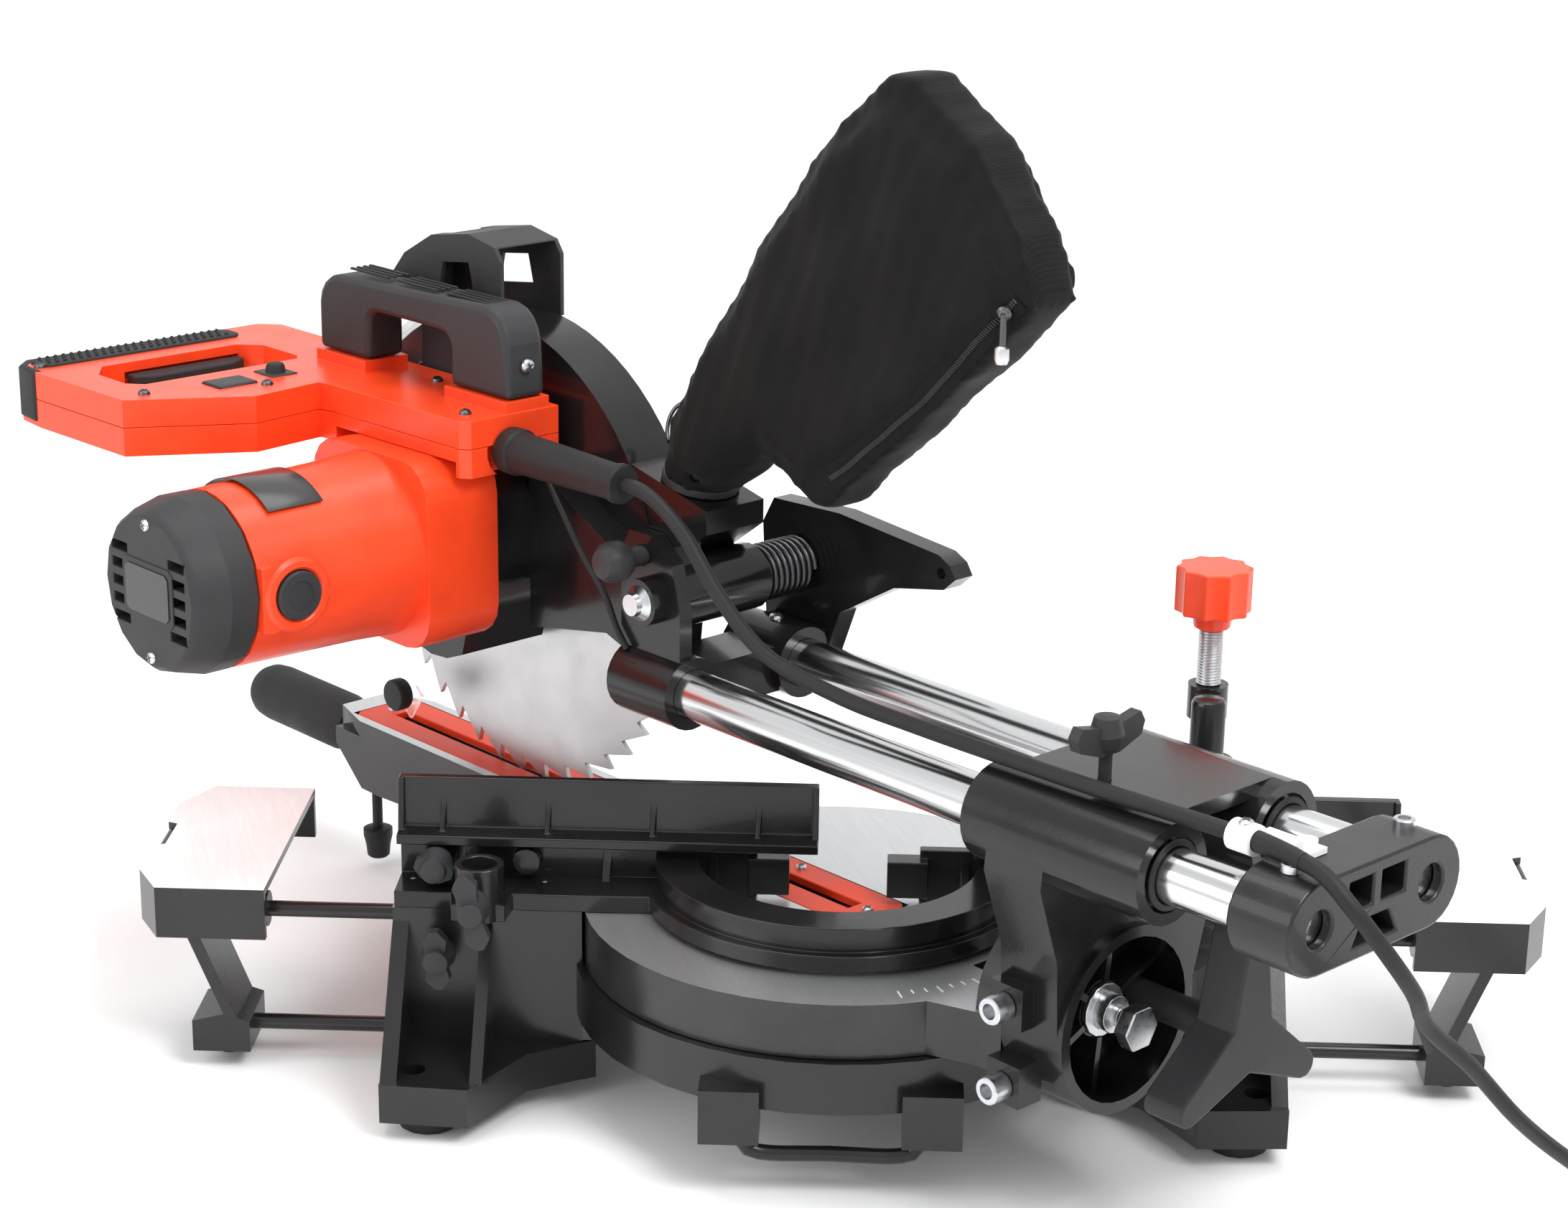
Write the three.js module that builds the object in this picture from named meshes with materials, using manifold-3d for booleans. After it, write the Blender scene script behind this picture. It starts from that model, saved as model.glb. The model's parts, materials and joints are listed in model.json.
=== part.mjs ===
// Sliding compound mitre saw on its own cast base, with sliding extension wings.
// Millimetres, +Z up. Design frame: the mitre pivot axis is X = Y = 0 and the bench is Z = 0.
// +X is the user's right, -Y is towards the user. The saw is set to 45 degrees right, so the table,
// the bevel arm, the rails and the head are built square in a frame that is turned by MITRE.
import * as THREE from "three";
import { mergeVertices } from "three/addons/utils/BufferGeometryUtils.js";
import Module from "manifold-3d";

const wasm = await Module();
wasm.setup();

// ---- driving dimensions ----
const MITRE = Math.PI / 4;
const GAP = 0.3;
const TABLE_Z = 99.2;
const DRUM_R = 125.5;
const DRUM_BOTTOM = 72.2;
const BASE_HALF = 217;
const BASE_FRONT = -132;
const BASE_REAR = 26;
const PAD_BOTTOM = 10;
const PAD_TOP = 30;
const PAD_REAR = 80;
const PAD_FRONT = -178;
const FENCE_FRONT = -4;
const FENCE_SPLIT = 126.5;
const FENCE_TOP = 158;
const CLAMP = { x: -179.5, y: -30 };
const FENCE_SOCKET = { x: 173, y: 34, r: 12, bore: 8.6, top: 127 };
const ARCH_OUTER = 90;
const ARCH_INNER = 69;
const ARCH_TOP = 121.5;
const WING = { inner: 283.5, outer: 350.5, front: -132, rear: 9.7, skirt: 72.5 };
const ROD = { r: 4, y: -12, upperZ: 80.5, lowerZ: 18.5, innerEnd: 160 };
const ARM_HALF = 26.4;
const ARM_FRONT = -396;
const INSERT = { half: 20, front: -380, rear: 29, slotHalf: 4.5, slotFront: -362, slotRear: 12 };
const GRIP = { r: 17, z: 79, near: -404, far: -500 };
const ARM_FOOT = { x: 5, y: -381, bottom: 6.5, top: 25 };
const BEVEL_Z = 100;
const BEVEL_FACE = 152.4;
const CUP = { r: 45, inner: 39.5, rear: 189 };
const RAIL = { r: 12.5, x: 38, z: 197, front: -108, rear: 312 };
const RAIL_KNOB = { x: 21, y: 186 };
const SLEEVE = { r: 23, front: 138, rear: 240 };
const STAR = { x: -28, z: 98, front: 159.8, plate: 216, rear: 238, reach: 54 };
const PIVOT = { y: -88, z: 242, r: 6 };
const BLADE = { y: -244.4, z: 223, r: 127, half: 1.4, teeth: 40 };
const GUARD = { r: 132, left: -10, right: 20 };
const MOTOR = { y: -238, z: 249, r: 45, flangeR: 49, flange: 62, body: 106, cap: 203, end: 237 };
const HANDLE = { top: 320, seam: 305.5, bottom: 290.5 };
const BUTTONS = { x: 129, y: -327 };
const LOCK_OFF = { x: 98, y: -331 };
const BOOT = { x: 60, z: 302, front: -180, rear: -92 };
const TUBE_SEGMENTS = 16;

// ---- solids ----
const V = (x, y, z) => new THREE.Vector3(x, y, z);

function solid(geometry) {
  const open = geometry.index ? geometry.toNonIndexed() : geometry.clone();
  const bare = new THREE.BufferGeometry().setAttribute("position", open.getAttribute("position"));
  const merged = mergeVertices(bare, 1e-3);
  const mesh = new wasm.Mesh({
    numProp: 3,
    vertProperties: merged.attributes.position.array,
    triVerts: new Uint32Array(merged.index.array),
  });
  return new wasm.Manifold(mesh);
}

const join = (first, ...rest) => rest.reduce((all, next) => all.add(next), first);
const cut = (first, ...tools) => tools.reduce((all, tool) => all.subtract(tool), first);

function outline(points) {
  const shape = new THREE.Shape();
  points.forEach(([a, b], i) => (i ? shape.lineTo(a, b) : shape.moveTo(a, b)));
  shape.closePath();
  return shape;
}

// Each of these extrudes an outline along one axis, from low to high.
function alongZ(points, low, high) {
  const g = new THREE.ExtrudeGeometry(outline(points), { depth: high - low, bevelEnabled: false });
  return solid(g.translate(0, 0, low));
}

function alongX(points, low, high) {
  const g = new THREE.ExtrudeGeometry(outline(points), { depth: high - low, bevelEnabled: false });
  g.applyMatrix4(new THREE.Matrix4().makeBasis(V(0, 1, 0), V(0, 0, 1), V(1, 0, 0)));
  return solid(g.translate(low, 0, 0));
}

function alongY(points, low, high) {
  const flipped = points.map(([x, z]) => [z, x]);
  const g = new THREE.ExtrudeGeometry(outline(flipped), { depth: high - low, bevelEnabled: false });
  g.applyMatrix4(new THREE.Matrix4().makeBasis(V(0, 0, 1), V(1, 0, 0), V(0, 1, 0)));
  return solid(g.translate(0, low, 0));
}

function box(x0, x1, y0, y1, z0, z1) {
  const g = new THREE.BoxGeometry(x1 - x0, y1 - y0, z1 - z0);
  return solid(g.translate((x0 + x1) / 2, (y0 + y1) / 2, (z0 + z1) / 2));
}

// A solid of revolution about the line from start along direction; rings are [radius, distance].
function turned(rings, start, direction, segments = TUBE_SEGMENTS) {
  const profile = rings.map(([r, h]) => new THREE.Vector2(r, h));
  const closed = [new THREE.Vector2(0, profile[0].y), ...profile, new THREE.Vector2(0, profile.at(-1).y)];
  const g = new THREE.LatheGeometry(closed, segments);
  const turn = new THREE.Quaternion().setFromUnitVectors(V(0, 1, 0), direction.clone().normalize());
  g.applyQuaternion(turn);
  return solid(g.translate(start.x, start.y, start.z));
}

function rod(r, start, end, segments = TUBE_SEGMENTS) {
  const along = end.clone().sub(start);
  return turned([[r, 0], [r, along.length()]], start, along, segments);
}

const rodX = (r, x0, x1, y, z, n) => rod(r, V(x0, y, z), V(x1, y, z), n);
const rodY = (r, x, y0, y1, z, n) => rod(r, V(x, y0, z), V(x, y1, z), n);
const rodZ = (r, x, y, z0, z1, n) => rod(r, V(x, y, z0), V(x, y, z1), n);

function arc(cx, cy, r, from, to, steps) {
  const points = [];
  for (let i = 0; i <= steps; i++) {
    const a = THREE.MathUtils.degToRad(from + ((to - from) * i) / steps);
    points.push([cx + r * Math.cos(a), cy + r * Math.sin(a)]);
  }
  return points;
}

const sector = (cx, cy, inner, outer, from, to, steps) => [
  ...arc(cx, cy, outer, from, to, steps),
  ...arc(cx, cy, inner, to, from, steps),
];

function geometryOf(body) {
  const m = body.getMesh();
  const positions = new Float32Array(m.numVert * 3);
  for (let i = 0; i < m.numVert; i++) {
    positions.set(m.vertProperties.subarray(i * m.numProp, i * m.numProp + 3), i * 3);
  }
  const g = new THREE.BufferGeometry().setAttribute("position", new THREE.BufferAttribute(positions, 3));
  return g.setIndex(new THREE.BufferAttribute(new Uint32Array(m.triVerts), 1));
}

function mirrorX(body) {
  const g = geometryOf(body).scale(-1, 1, 1);
  g.index.array.reverse();
  return solid(g);
}

// A tube along a smooth curve through points.
function tube(points, r, steps, sides) {
  const curve = new THREE.CatmullRomCurve3(points, false, "centripetal");
  const section = outline(arc(0, 0, r, 0, 360 - 360 / sides, sides - 1));
  return solid(new THREE.ExtrudeGeometry(section, { steps, bevelEnabled: false, extrudePath: curve }));
}

// ---- materials ----
const finish = (color, roughness, metalness) => new THREE.MeshStandardMaterial({ color, roughness, metalness });
const MATERIALS = {
  blackPaint: finish(0x0b0b0c, 0.25, 0.3),
  greyPaint: finish(0x3a3a3c, 0.5, 0.3),
  orangePlastic: finish(0xf0401a, 0.45, 0),
  blackPlastic: finish(0x1c1c1d, 0.55, 0),
  steel: finish(0xb9bcc0, 0.25, 1),
  aluminium: finish(0xd0d2d4, 0.4, 0.9),
  rubber: finish(0x111112, 0.85, 0),
  clear: finish(0xdfe6ea, 0.1, 0),
  cloth: finish(0x0d0d0e, 0.9, 0),
  nylon: finish(0xf0f0ec, 0.5, 0),
};

const saw = new THREE.Group();
const table = new THREE.Group();
table.rotation.z = MITRE;
saw.add(table);

function place(parent, name, body, material) {
  const mesh = new THREE.Mesh(geometryOf(body), MATERIALS[material]);
  mesh.name = name;
  parent.add(mesh);
}

// ---- base ----
function shoulder() {
  const reach = DRUM_R + 1.5;
  const rearX = Math.sqrt(reach * reach - BASE_REAR * BASE_REAR);
  const diagonal = 48;
  const top = [
    [BASE_HALF, BASE_REAR],
    [rearX, BASE_REAR],
    [reach, 0],
    [reach * Math.cos(0.26), -reach * Math.sin(0.26)],
    [110.5, diagonal - 110.5],
    [-BASE_FRONT + diagonal, BASE_FRONT],
    [BASE_HALF, BASE_FRONT],
  ];
  const wall = 7;
  const hollow = [
    [BASE_HALF - wall, BASE_REAR - wall],
    [rearX + 9, BASE_REAR - wall],
    [reach + wall, -6],
    [reach + 4, -32],
    [128, -64],
    [-BASE_FRONT + diagonal + 8, BASE_FRONT + wall],
    [BASE_HALF - wall, BASE_FRONT + wall],
  ];
  const rearPad = [
    [BASE_HALF, BASE_REAR - 2],
    [BASE_HALF, PAD_REAR],
    [174, PAD_REAR + 3],
    [150, BASE_REAR + 16],
    [126, BASE_REAR + 2],
    [118, BASE_REAR - 2],
  ];
  const frontPad = [[BASE_HALF, BASE_FRONT + 2], [178, BASE_FRONT + 2], [178, PAD_FRONT], [BASE_HALF, PAD_FRONT]];
  const rearRib = [[BASE_REAR - 1, TABLE_Z - 6], [BASE_REAR + 6, TABLE_Z - 14], [PAD_REAR - 3, PAD_TOP - 1]];
  const ribFoot = [[BASE_REAR - 1, PAD_TOP - 1]];
  const frontRib = [[BASE_FRONT + 1, PAD_TOP - 1], [PAD_FRONT + 4, PAD_TOP - 1], [BASE_FRONT + 1, TABLE_Z - 8]];
  const body = join(
    alongZ(top, PAD_TOP - 4, TABLE_Z),
    alongZ(rearPad, PAD_BOTTOM, PAD_TOP),
    alongZ(frontPad, PAD_BOTTOM, PAD_TOP),
    alongX([...rearRib, ...ribFoot], BASE_HALF - 8, BASE_HALF),
    alongX([...rearRib, ...ribFoot], 168, 174),
    alongX(frontRib, BASE_HALF - 8, BASE_HALF),
    box(BASE_HALF - 16, BASE_HALF, ROD.y - 11, ROD.y + 11, PAD_BOTTOM, PAD_TOP),
  );
  return cut(
    body,
    alongZ(hollow, 0, TABLE_Z - 8),
    rodZ(6, 203, 62, 0, TABLE_Z, 16),
    rodX(ROD.r + 0.5, 134.5, 240, ROD.y, ROD.upperZ, 16),
    rodX(ROD.r + 0.5, 180, 240, ROD.y, ROD.lowerZ, 16),
  );
}

function baseCasting() {
  const bowlTop = DRUM_BOTTOM - 0.5;
  const scale = sector(0, 0, 120, 166, -142, -38, 16);
  const lug = (x) => box(x - 14, x + 14, 108, 131, 30, 57);
  const bowl = cut(rodZ(130, 0, 0, 54, bowlTop, 40), rodZ(119, 0, 0, 61, 80, 30));
  const skirt = cut(rodZ(130, 0, 0, 46, 56, 40), rodZ(122, 0, 0, 40, 54, 30));
  const sides = join(shoulder(), mirrorX(shoulder()));
  const whole = join(bowl, skirt, sides, alongZ(scale, 60, bowlTop - 1.5), lug(47), lug(-47));
  return cut(whole, stirrupRod(4.3), rodZ(8.4, 0, 0, 40, 90, 14));
}

function stirrupRod(r) {
  const legX = 42;
  const y = 121;
  const low = 22;
  const bend = 9;
  const path = [V(legX, y, 50), V(legX, y, 40), V(legX, y, low + bend), V(legX - 2.6, y, low + 2.6), V(legX - bend, y, low)];
  const far = path.map((p) => V(-p.x, p.y, p.z)).reverse();
  return tube([...path, V(0, y, low), ...far], r, 24, 8);
}

function fenceHalf(side) {
  const plate = box(40, 216, FENCE_FRONT, 2, TABLE_Z + GAP, FENCE_SPLIT);
  const flangeTop = 108;
  const flange = [
    [216, FENCE_FRONT + 1],
    [216, BASE_REAR + 1],
    [188, BASE_REAR + 1],
    [186, FENCE_SOCKET.y + 8],
    [160, FENCE_SOCKET.y + 8],
    [158, BASE_REAR + 1],
    [112, BASE_REAR + 1],
    [86, BASE_REAR],
    [66, 14],
    [66, FENCE_FRONT + 1],
  ];
  const lug = box(24, 44, FENCE_FRONT, 8, TABLE_Z + 4, 122);
  const rib = (x) => alongX([[1, flangeTop - 1], [9, flangeTop - 1], [1, FENCE_SPLIT - 2]], x, x + 4);
  const boss = rodY(7, 153, 1, 10, 118, 14);
  const socket = rodZ(FENCE_SOCKET.r, FENCE_SOCKET.x, FENCE_SOCKET.y, TABLE_Z + GAP, FENCE_SOCKET.top, 20);
  const bore = rodZ(FENCE_SOCKET.bore, FENCE_SOCKET.x, FENCE_SOCKET.y, TABLE_Z + 4, 140, 18);
  const body = join(plate, alongZ(flange, TABLE_Z + GAP, flangeTop), lug, rib(112), rib(184), rib(60), boss, socket);
  const holed = cut(body, bore);
  return side > 0 ? holed : mirrorX(holed);
}

function fenceCasting() {
  const low = TABLE_Z + 2.3;
  const ring = alongZ(sector(0, 0, ARCH_INNER, ARCH_OUTER, 2, 178, 36), low, ARCH_TOP);
  const lip = alongZ(sector(0, 0, ARCH_OUTER - 4, ARCH_OUTER + 5, 8, 172, 32), low, low + 8);
  return join(ring, lip, fenceHalf(1), fenceHalf(-1));
}

function slidingFence(low, high) {
  const plate = [[FENCE_FRONT, FENCE_SPLIT + GAP], [13, FENCE_SPLIT + GAP], [13, 131.5], [2.5, 133], [1, FENCE_TOP], [FENCE_FRONT, FENCE_TOP]];
  const ribs = [];
  const count = Math.round((high - low) / 47);
  for (let i = 0; i < count; i++) {
    const x = low + ((i + 0.55) * (high - low)) / count;
    ribs.push(alongX([[0, 131], [8, 131], [0, FENCE_TOP - 5]], x, x + 2.5));
  }
  const ends = [low, high - 3].map((x) => alongX([[0, 131], [7, 131], [3, FENCE_TOP], [0, FENCE_TOP]], x, x + 3));
  return join(alongX(plate, low, high), ...ribs, ...ends);
}

// A thumb knob with two wings on a screw, pointing back along +Y from its seat.
function thumbKnob(x, seat, z, tilt, reach) {
  const hub = turned([[3, 0], [3, 7], [7.5, 7.5], [8.5, 12], [6, 24], [3, 25]], V(x, seat, z), V(0, 1, 0), 18);
  const wing = [[-4, -3], [reach - 5, -6], [reach, -2], [reach, 2], [reach - 5, 6], [-4, 3]];
  const turn = (points, extra) =>
    points.map(([a, b]) => {
      const t = tilt + extra;
      return [x + a * Math.cos(t) - b * Math.sin(t), z + a * Math.sin(t) + b * Math.cos(t)];
    });
  const blade = (extra) => alongY(turn(wing, extra), seat + 15, seat + 21);
  return join(hub, blade(0), blade(Math.PI));
}

// ---- wings ----
function wingFrame() {
  const plan = [
    [WING.inner, WING.rear],
    [338, WING.rear],
    [WING.outer, -13],
    [WING.outer, -46],
    [WING.outer - 5, -48],
    [WING.outer - 5, -76],
    [WING.outer, -78],
    [WING.outer, -106],
    [336.5, WING.front],
    [WING.inner, WING.front],
  ];
  const inside = [[WING.inner - 1, WING.rear - 4], [334, WING.rear - 4], [345, -16], [345, -104], [333, WING.front + 4], [WING.inner - 1, WING.front + 4]];
  const shell = cut(alongZ(plan, WING.skirt, TABLE_Z), alongZ(inside, 60, TABLE_Z - 4));
  const legY0 = ROD.y - 20;
  const legY1 = WING.rear - 3.5;
  const strap = [[294, 95.5], [294, 92], [318, 74], [300, 28], [294, 26], [294, 9.5], [323, 9.5], [323, 26], [307, 30], [325, 75], [324, 95.5]];
  const leg = alongY(strap, legY0, legY1);
  const boss = rodX(9, WING.inner + 2, 330, ROD.y, ROD.upperZ, 14);
  const rods = [ROD.upperZ, ROD.lowerZ].map((z) => rodX(ROD.r, ROD.innerEnd, 300, ROD.y, z, 16));
  const post = box(300, 322, ROD.y - 6, ROD.y + 6, 70, 97);
  const foot = rodZ(6, 308, ROD.y, 3, 11, 16);
  return join(shell, leg, post, boss, ...rods, foot);
}

function foldStop() {
  const pivotZ = 95;
  const plate = [[-75.5, pivotZ], [-72, pivotZ - 12], [-52, pivotZ - 12], [-48.5, pivotZ]];
  return join(alongX(plate, WING.outer - 4.7, WING.outer - 0.5), rodY(2.1, WING.outer - 2.6, -75.5, -48.5, pivotZ, 12));
}

// ---- turntable and its arm ----
function turntable() {
  const nose = 17;
  const plan = [[-ARM_HALF, -90], [-ARM_HALF, -366], [-nose, ARM_FRONT], [nose, ARM_FRONT], [ARM_HALF, -366], [ARM_HALF, -90]];
  const inner = [[-20, -60], [-20, -362], [20, -362], [20, -60]];
  const drum = rodZ(DRUM_R, 0, 0, DRUM_BOTTOM, TABLE_Z, 56);
  const drumHollow = rodZ(116, 0, 0, 60, TABLE_Z - 10, 36);
  const arm = alongZ(plan, DRUM_BOTTOM + 0.3, TABLE_Z);
  const skirt = [[-172, 75], [-172, 66], [-350, 58], [-366, 58.3], [-390, 80], [-390, 90], [-172, 90]];
  const deep = alongX(skirt, -ARM_HALF, ARM_HALF);
  const channel = alongZ(inner, 40, 91);
  const pocket = box(-INSERT.half - GAP, INSERT.half + GAP, INSERT.front - GAP, INSERT.rear + GAP, 94.7, 110);
  const kerf = box(-8, 8, -352, 2, 60, 110);
  const neckPlan = [[-58, 100], [58, 100], [44, 138], [44, BEVEL_FACE - 0.4], [-44, BEVEL_FACE - 0.4], [-44, 138]];
  const neck = alongZ(neckPlan, DRUM_BOTTOM + 0.3, TABLE_Z);
  const boss = rodY(42, 0, 134, BEVEL_FACE - 0.4, BEVEL_Z, 28);
  const footBoss = rodZ(9, ARM_FOOT.x, ARM_FOOT.y, 58, 92, 14);
  const hub = rodZ(18, 0, 0, DRUM_BOTTOM + 0.3, TABLE_Z - 5.2, 18);
  const whole = join(cut(drum, drumHollow), cut(join(arm, deep), channel), neck, boss, footBoss, hub);
  return cut(
    whole,
    pocket,
    kerf,
    rodY(8.4, 0, 100, 160, BEVEL_Z, 14),
    rodZ(8.4, 0, 0, 60, 93.8, 14),
    rodZ(3.4, ARM_FOOT.x, ARM_FOOT.y, 50, 90, 14),
    rodY(5.4, 0, -410, GRIP.near + 17, GRIP.z, 14),
    box(-70, 70, 60, 134, 101, 140),
  );
}

function kerfInsert() {
  const r = 6;
  const round = (x, y, from) => arc(x, y, r, from, from + 90, 3);
  const h = INSERT.half;
  const plan = [
    ...round(h - r, INSERT.rear - r, 0),
    ...round(-h + r, INSERT.rear - r, 90),
    ...round(-h + r, INSERT.front + r, 180),
    ...round(h - r, INSERT.front + r, 270),
  ];
  const slot = box(-INSERT.slotHalf, INSERT.slotHalf, INSERT.slotFront, INSERT.slotRear, 90, 105);
  return cut(alongZ(plan, 95, TABLE_Z), slot);
}

function mitreGrip() {
  const length = GRIP.near - GRIP.far;
  const rings = [[12, 0], [16, 3], [GRIP.r, 14], [GRIP.r, length - 8], [16.5, length - 2], [11, length]];
  const grip = turned(rings, V(0, GRIP.near, GRIP.z), V(0, -1, 0), 18);
  return join(grip, rodY(5, 0, GRIP.near - 1, GRIP.near + 16, GRIP.z, 14));
}

function armFoot() {
  const { x, y, bottom, top } = ARM_FOOT;
  const rubber = turned([[5, 0], [6.5, 1.5], [8.5, top - bottom - 5], [8.5, top - bottom - 1], [6, top - bottom]], V(x, y, bottom), V(0, 0, 1), 14);
  return join(rubber, rodZ(3, x, y, top - 1, 84, 14));
}

// ---- bevel arm ----
function bevelArm() {
  const { x, z } = RAIL;
  const neck = [[-44, 92], [-60, 150], [-58, z], [58, z], [60, 178], [47, 140], [44, 92]];
  const sleeves = [x, -x].map((c) => rodY(SLEEVE.r, c, SLEEVE.front, SLEEVE.rear, z, 28));
  const bores = [x, -x].map((c) => rodY(RAIL.r + GAP, c, SLEEVE.front - 2, SLEEVE.rear + 2, z, 20));
  const mouths = [x, -x].map((c) => rodY(17.5, c, SLEEVE.rear - 5, SLEEVE.rear + 2, z, 20));
  const bridge = box(-x, x, 146, 232, z + SLEEVE.r - 7, z + SLEEVE.r);
  const cup = rodY(CUP.r, 0, BEVEL_FACE, CUP.rear, BEVEL_Z, 36);
  const hollow = rodY(CUP.inner, 0, BEVEL_FACE + 7, CUP.rear + 30, BEVEL_Z, 30);
  const ribs = [];
  for (let i = 0; i < 6; i++) {
    const a = (i * Math.PI) / 3 + Math.PI / 5;
    const [c, s] = [Math.cos(a), Math.sin(a)];
    const across = [[13.6, -1.6], [42, -1.6], [42, 1.6], [13.6, 1.6]].map(([u, v]) => [u * c - v * s, BEVEL_Z + u * s + v * c]);
    ribs.push(alongY(across, BEVEL_FACE + 1, CUP.rear - 15));
  }
  const hub = rodY(14, 0, BEVEL_FACE + 1, 172, BEVEL_Z, 18);
  const stopLug = (low) => box(38, 53, BEVEL_FACE, 172, low, low + 20);
  const solidParts = join(alongY(neck, BEVEL_FACE, 186), ...sleeves, bridge, cup, stopLug(104), stopLug(66));
  const opened = join(cut(solidParts, hollow), ...ribs, hub);
  const slot = rodZ(3.4, RAIL_KNOB.x, RAIL_KNOB.y, 200, 230, 14);
  return cut(opened, ...bores, ...mouths, rodY(8.4, 0, 140, 200, BEVEL_Z, 14), slot);
}

function bevelBolt() {
  const head = turned([[8, 0], [8, 50.3], [13, 50.4], [13, 53], [9, 53.1], [9, 60], [5, 60.1], [5, 64]], V(0, 122, BEVEL_Z), V(0, 1, 0), 14);
  return head;
}

function starHandle() {
  const { x, z, front, plate, rear, reach } = STAR;
  const shaft = turned([[11, 0], [11, 2.4], [8, 2.5], [8, plate - front + 3]], V(x, front, z), V(0, 1, 0), 18);
  const arms = [];
  for (const degrees of [-29, 91, 211]) {
    const a = THREE.MathUtils.degToRad(degrees);
    const [c, s] = [Math.cos(a), Math.sin(a)];
    const tip = arc(reach - 7, 0, 7, -80, 80, 4);
    const blade = [[0, -15], ...tip, [0, 15]].map(([u, v]) => [x + u * c - v * s, z + u * s + v * c]);
    arms.push(alongY(blade, plate, rear));
  }
  const hub = rodY(15, x, plate, rear, z, 18);
  return join(shaft, ...arms, hub);
}

// A wing knob standing on a plate, screw along Z.
function railKnob() {
  const [x, y, z] = [RAIL_KNOB.x, RAIL_KNOB.y, RAIL.z + SLEEVE.r];
  const screw = turned([[3, 0], [3, 22], [7, 22.5], [8, 28], [6, 36], [3, 37]], V(x, y, z - 6.5), V(0, 0, 1), 16);
  const wing = [[-22, 30], [-20, 24], [-6, 19], [6, 19], [20, 24], [22, 30], [19, 35], [0, 31], [-19, 35]];
  return join(screw, alongY(wing.map(([a, b]) => [x + a, z - 6.5 + b]), y - 3, y + 3));
}

// ---- carriage ----
function frontBracket() {
  const { x, z } = RAIL;
  const clamps = [x, -x].map((c) => rodY(18.5, c, -110, -66, z, 24));
  const bores = [x, -x].map((c) => rodY(RAIL.r + GAP, c, -107, -60, z, 20));
  const web = box(-x, x, -106, -72, z - 14, z + 10);
  const nearEar = [[-112, z], [-112, 262], [-106, 274], [-88, 274], [-74, 262], [-68, 240], [-68, z]];
  const farEar = [[-112, z], [-116, 258], [-108, 272], [-60, 274], [10, 268], [18, 264], [22, 258], [14, 251], [-20, 244], [-58, 222], [-68, z]];
  const farFoot = box(-66, -30, -108, -68, z - 10, z + 14);
  const body = join(...clamps, web, alongX(nearEar, 37, 45), alongX(farEar, -66, -54), farFoot, rodX(12, 37, 54, PIVOT.y, PIVOT.z, 18));
  return cut(
    body,
    ...bores,
    rodX(PIVOT.r + GAP, -80, 80, PIVOT.y, PIVOT.z, 18),
    rodX(5.4, 20, 80, -96, 263, 16),
    rodX(3, -70, -50, 12, 259, 12),
  );
}

function rearBracket() {
  const { x, z } = RAIL;
  const y0 = 286;
  const y1 = 318;
  const clamps = [x, -x].map((c) => rodY(21, c, y0, y1, z, 24));
  const bores = [x, -x].map((c) => rodY(RAIL.r + GAP, c, y0 - 5, RAIL.rear + GAP, z, 20));
  const windows = [x, -x].map((c) => rodY(8.5, c, y0, y1 + 5, z, 14));
  const web = [[-x, z + 21], [-x, z - 21], [x, z - 21], [x, z + 21]];
  const pocket = (cx) => box(cx - 8, cx + 8, y1 - 18, y1 + 5, z + 2, z + 15);
  const slot = [[-15, z - 15], [15, z - 15], [9, z - 4], [-9, z - 4]];
  const body = join(alongY(web, y0, y1), ...clamps);
  return cut(body, ...bores, ...windows, pocket(11), pocket(-11), alongY(slot, y1 - 18, y1 + 5));
}

function cableClip() {
  const { x, y, z } = CLIP;
  const ring = cut(rodY(LEAD_R + 3, x, y - 6, y + 6, z, 18), rodY(LEAD_R + GAP, x, y - 9, y + 9, z, 14));
  const seat = RAIL.z + 21 + GAP;
  const tab = box(12, x - LEAD_R - 0.8, y - 6, y + 24, seat, seat + 2.6);
  return join(ring, tab, rodZ(4.5, 18, y + 18, seat + 2, seat + 6, 16));
}

// ---- head ----
function headCasting() {
  const { y, z } = BLADE;
  const lowRear = -14;
  const lowFront = 158;
  const guard = alongX(arc(y, z, GUARD.r, lowRear, lowFront, 34), GUARD.left, GUARD.right);
  const well = alongX([...arc(y, z, GUARD.r - 3, lowRear - 8, lowFront + 8, 30)], -6, 8);
  const lowerWell = rodX(GUARD.r - 3, -6, 8, y, z, 30);
  const gearbox = alongX(
    [...arc(MOTOR.y, MOTOR.z, 48, -60, 150, 12), ...arc(y, z, 46, 160, 300, 8)],
    GUARD.left,
    MOTOR.flange - GAP,
  );
  const armOutline = [[-196, 200], [-120, 214], [-94, 222], [-94, 256], [-130, 257], [-196, 290]];
  const arm = alongX(armOutline, -19, 36);
  const barrel = rodX(17, -19, 36, PIVOT.y, PIVOT.z, 20);
  const dustBase = alongX([[-150, 262], [-100, 256], [-78, 272], [-78, 284], [-150, 300]], -19, 19);
  const lockLug = alongX([[-112, 250], [-82, 250], [-82, 268], [-90, 275], [-102, 275], [-112, 268]], 19, 36);
  const body = join(guard, gearbox, arm, barrel, dustBase, lockLug);
  const pivotBore = rodX(PIVOT.r + GAP, -30, 50, PIVOT.y, PIVOT.z, 14);
  return cut(body, well, lowerWell, pivotBore, rodX(8.4, -30, 70, y, z, 14), rodX(5.4, 26, 40, -96, 263, 16));
}

const pivotShaft = () => join(
  rodX(PIVOT.r, -72, 60, PIVOT.y, PIVOT.z, 14),
  rodX(9, 54.4, 57, PIVOT.y, PIVOT.z, 14),
  rodX(9, -70, -66.4, PIVOT.y, PIVOT.z, 14),
);

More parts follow.
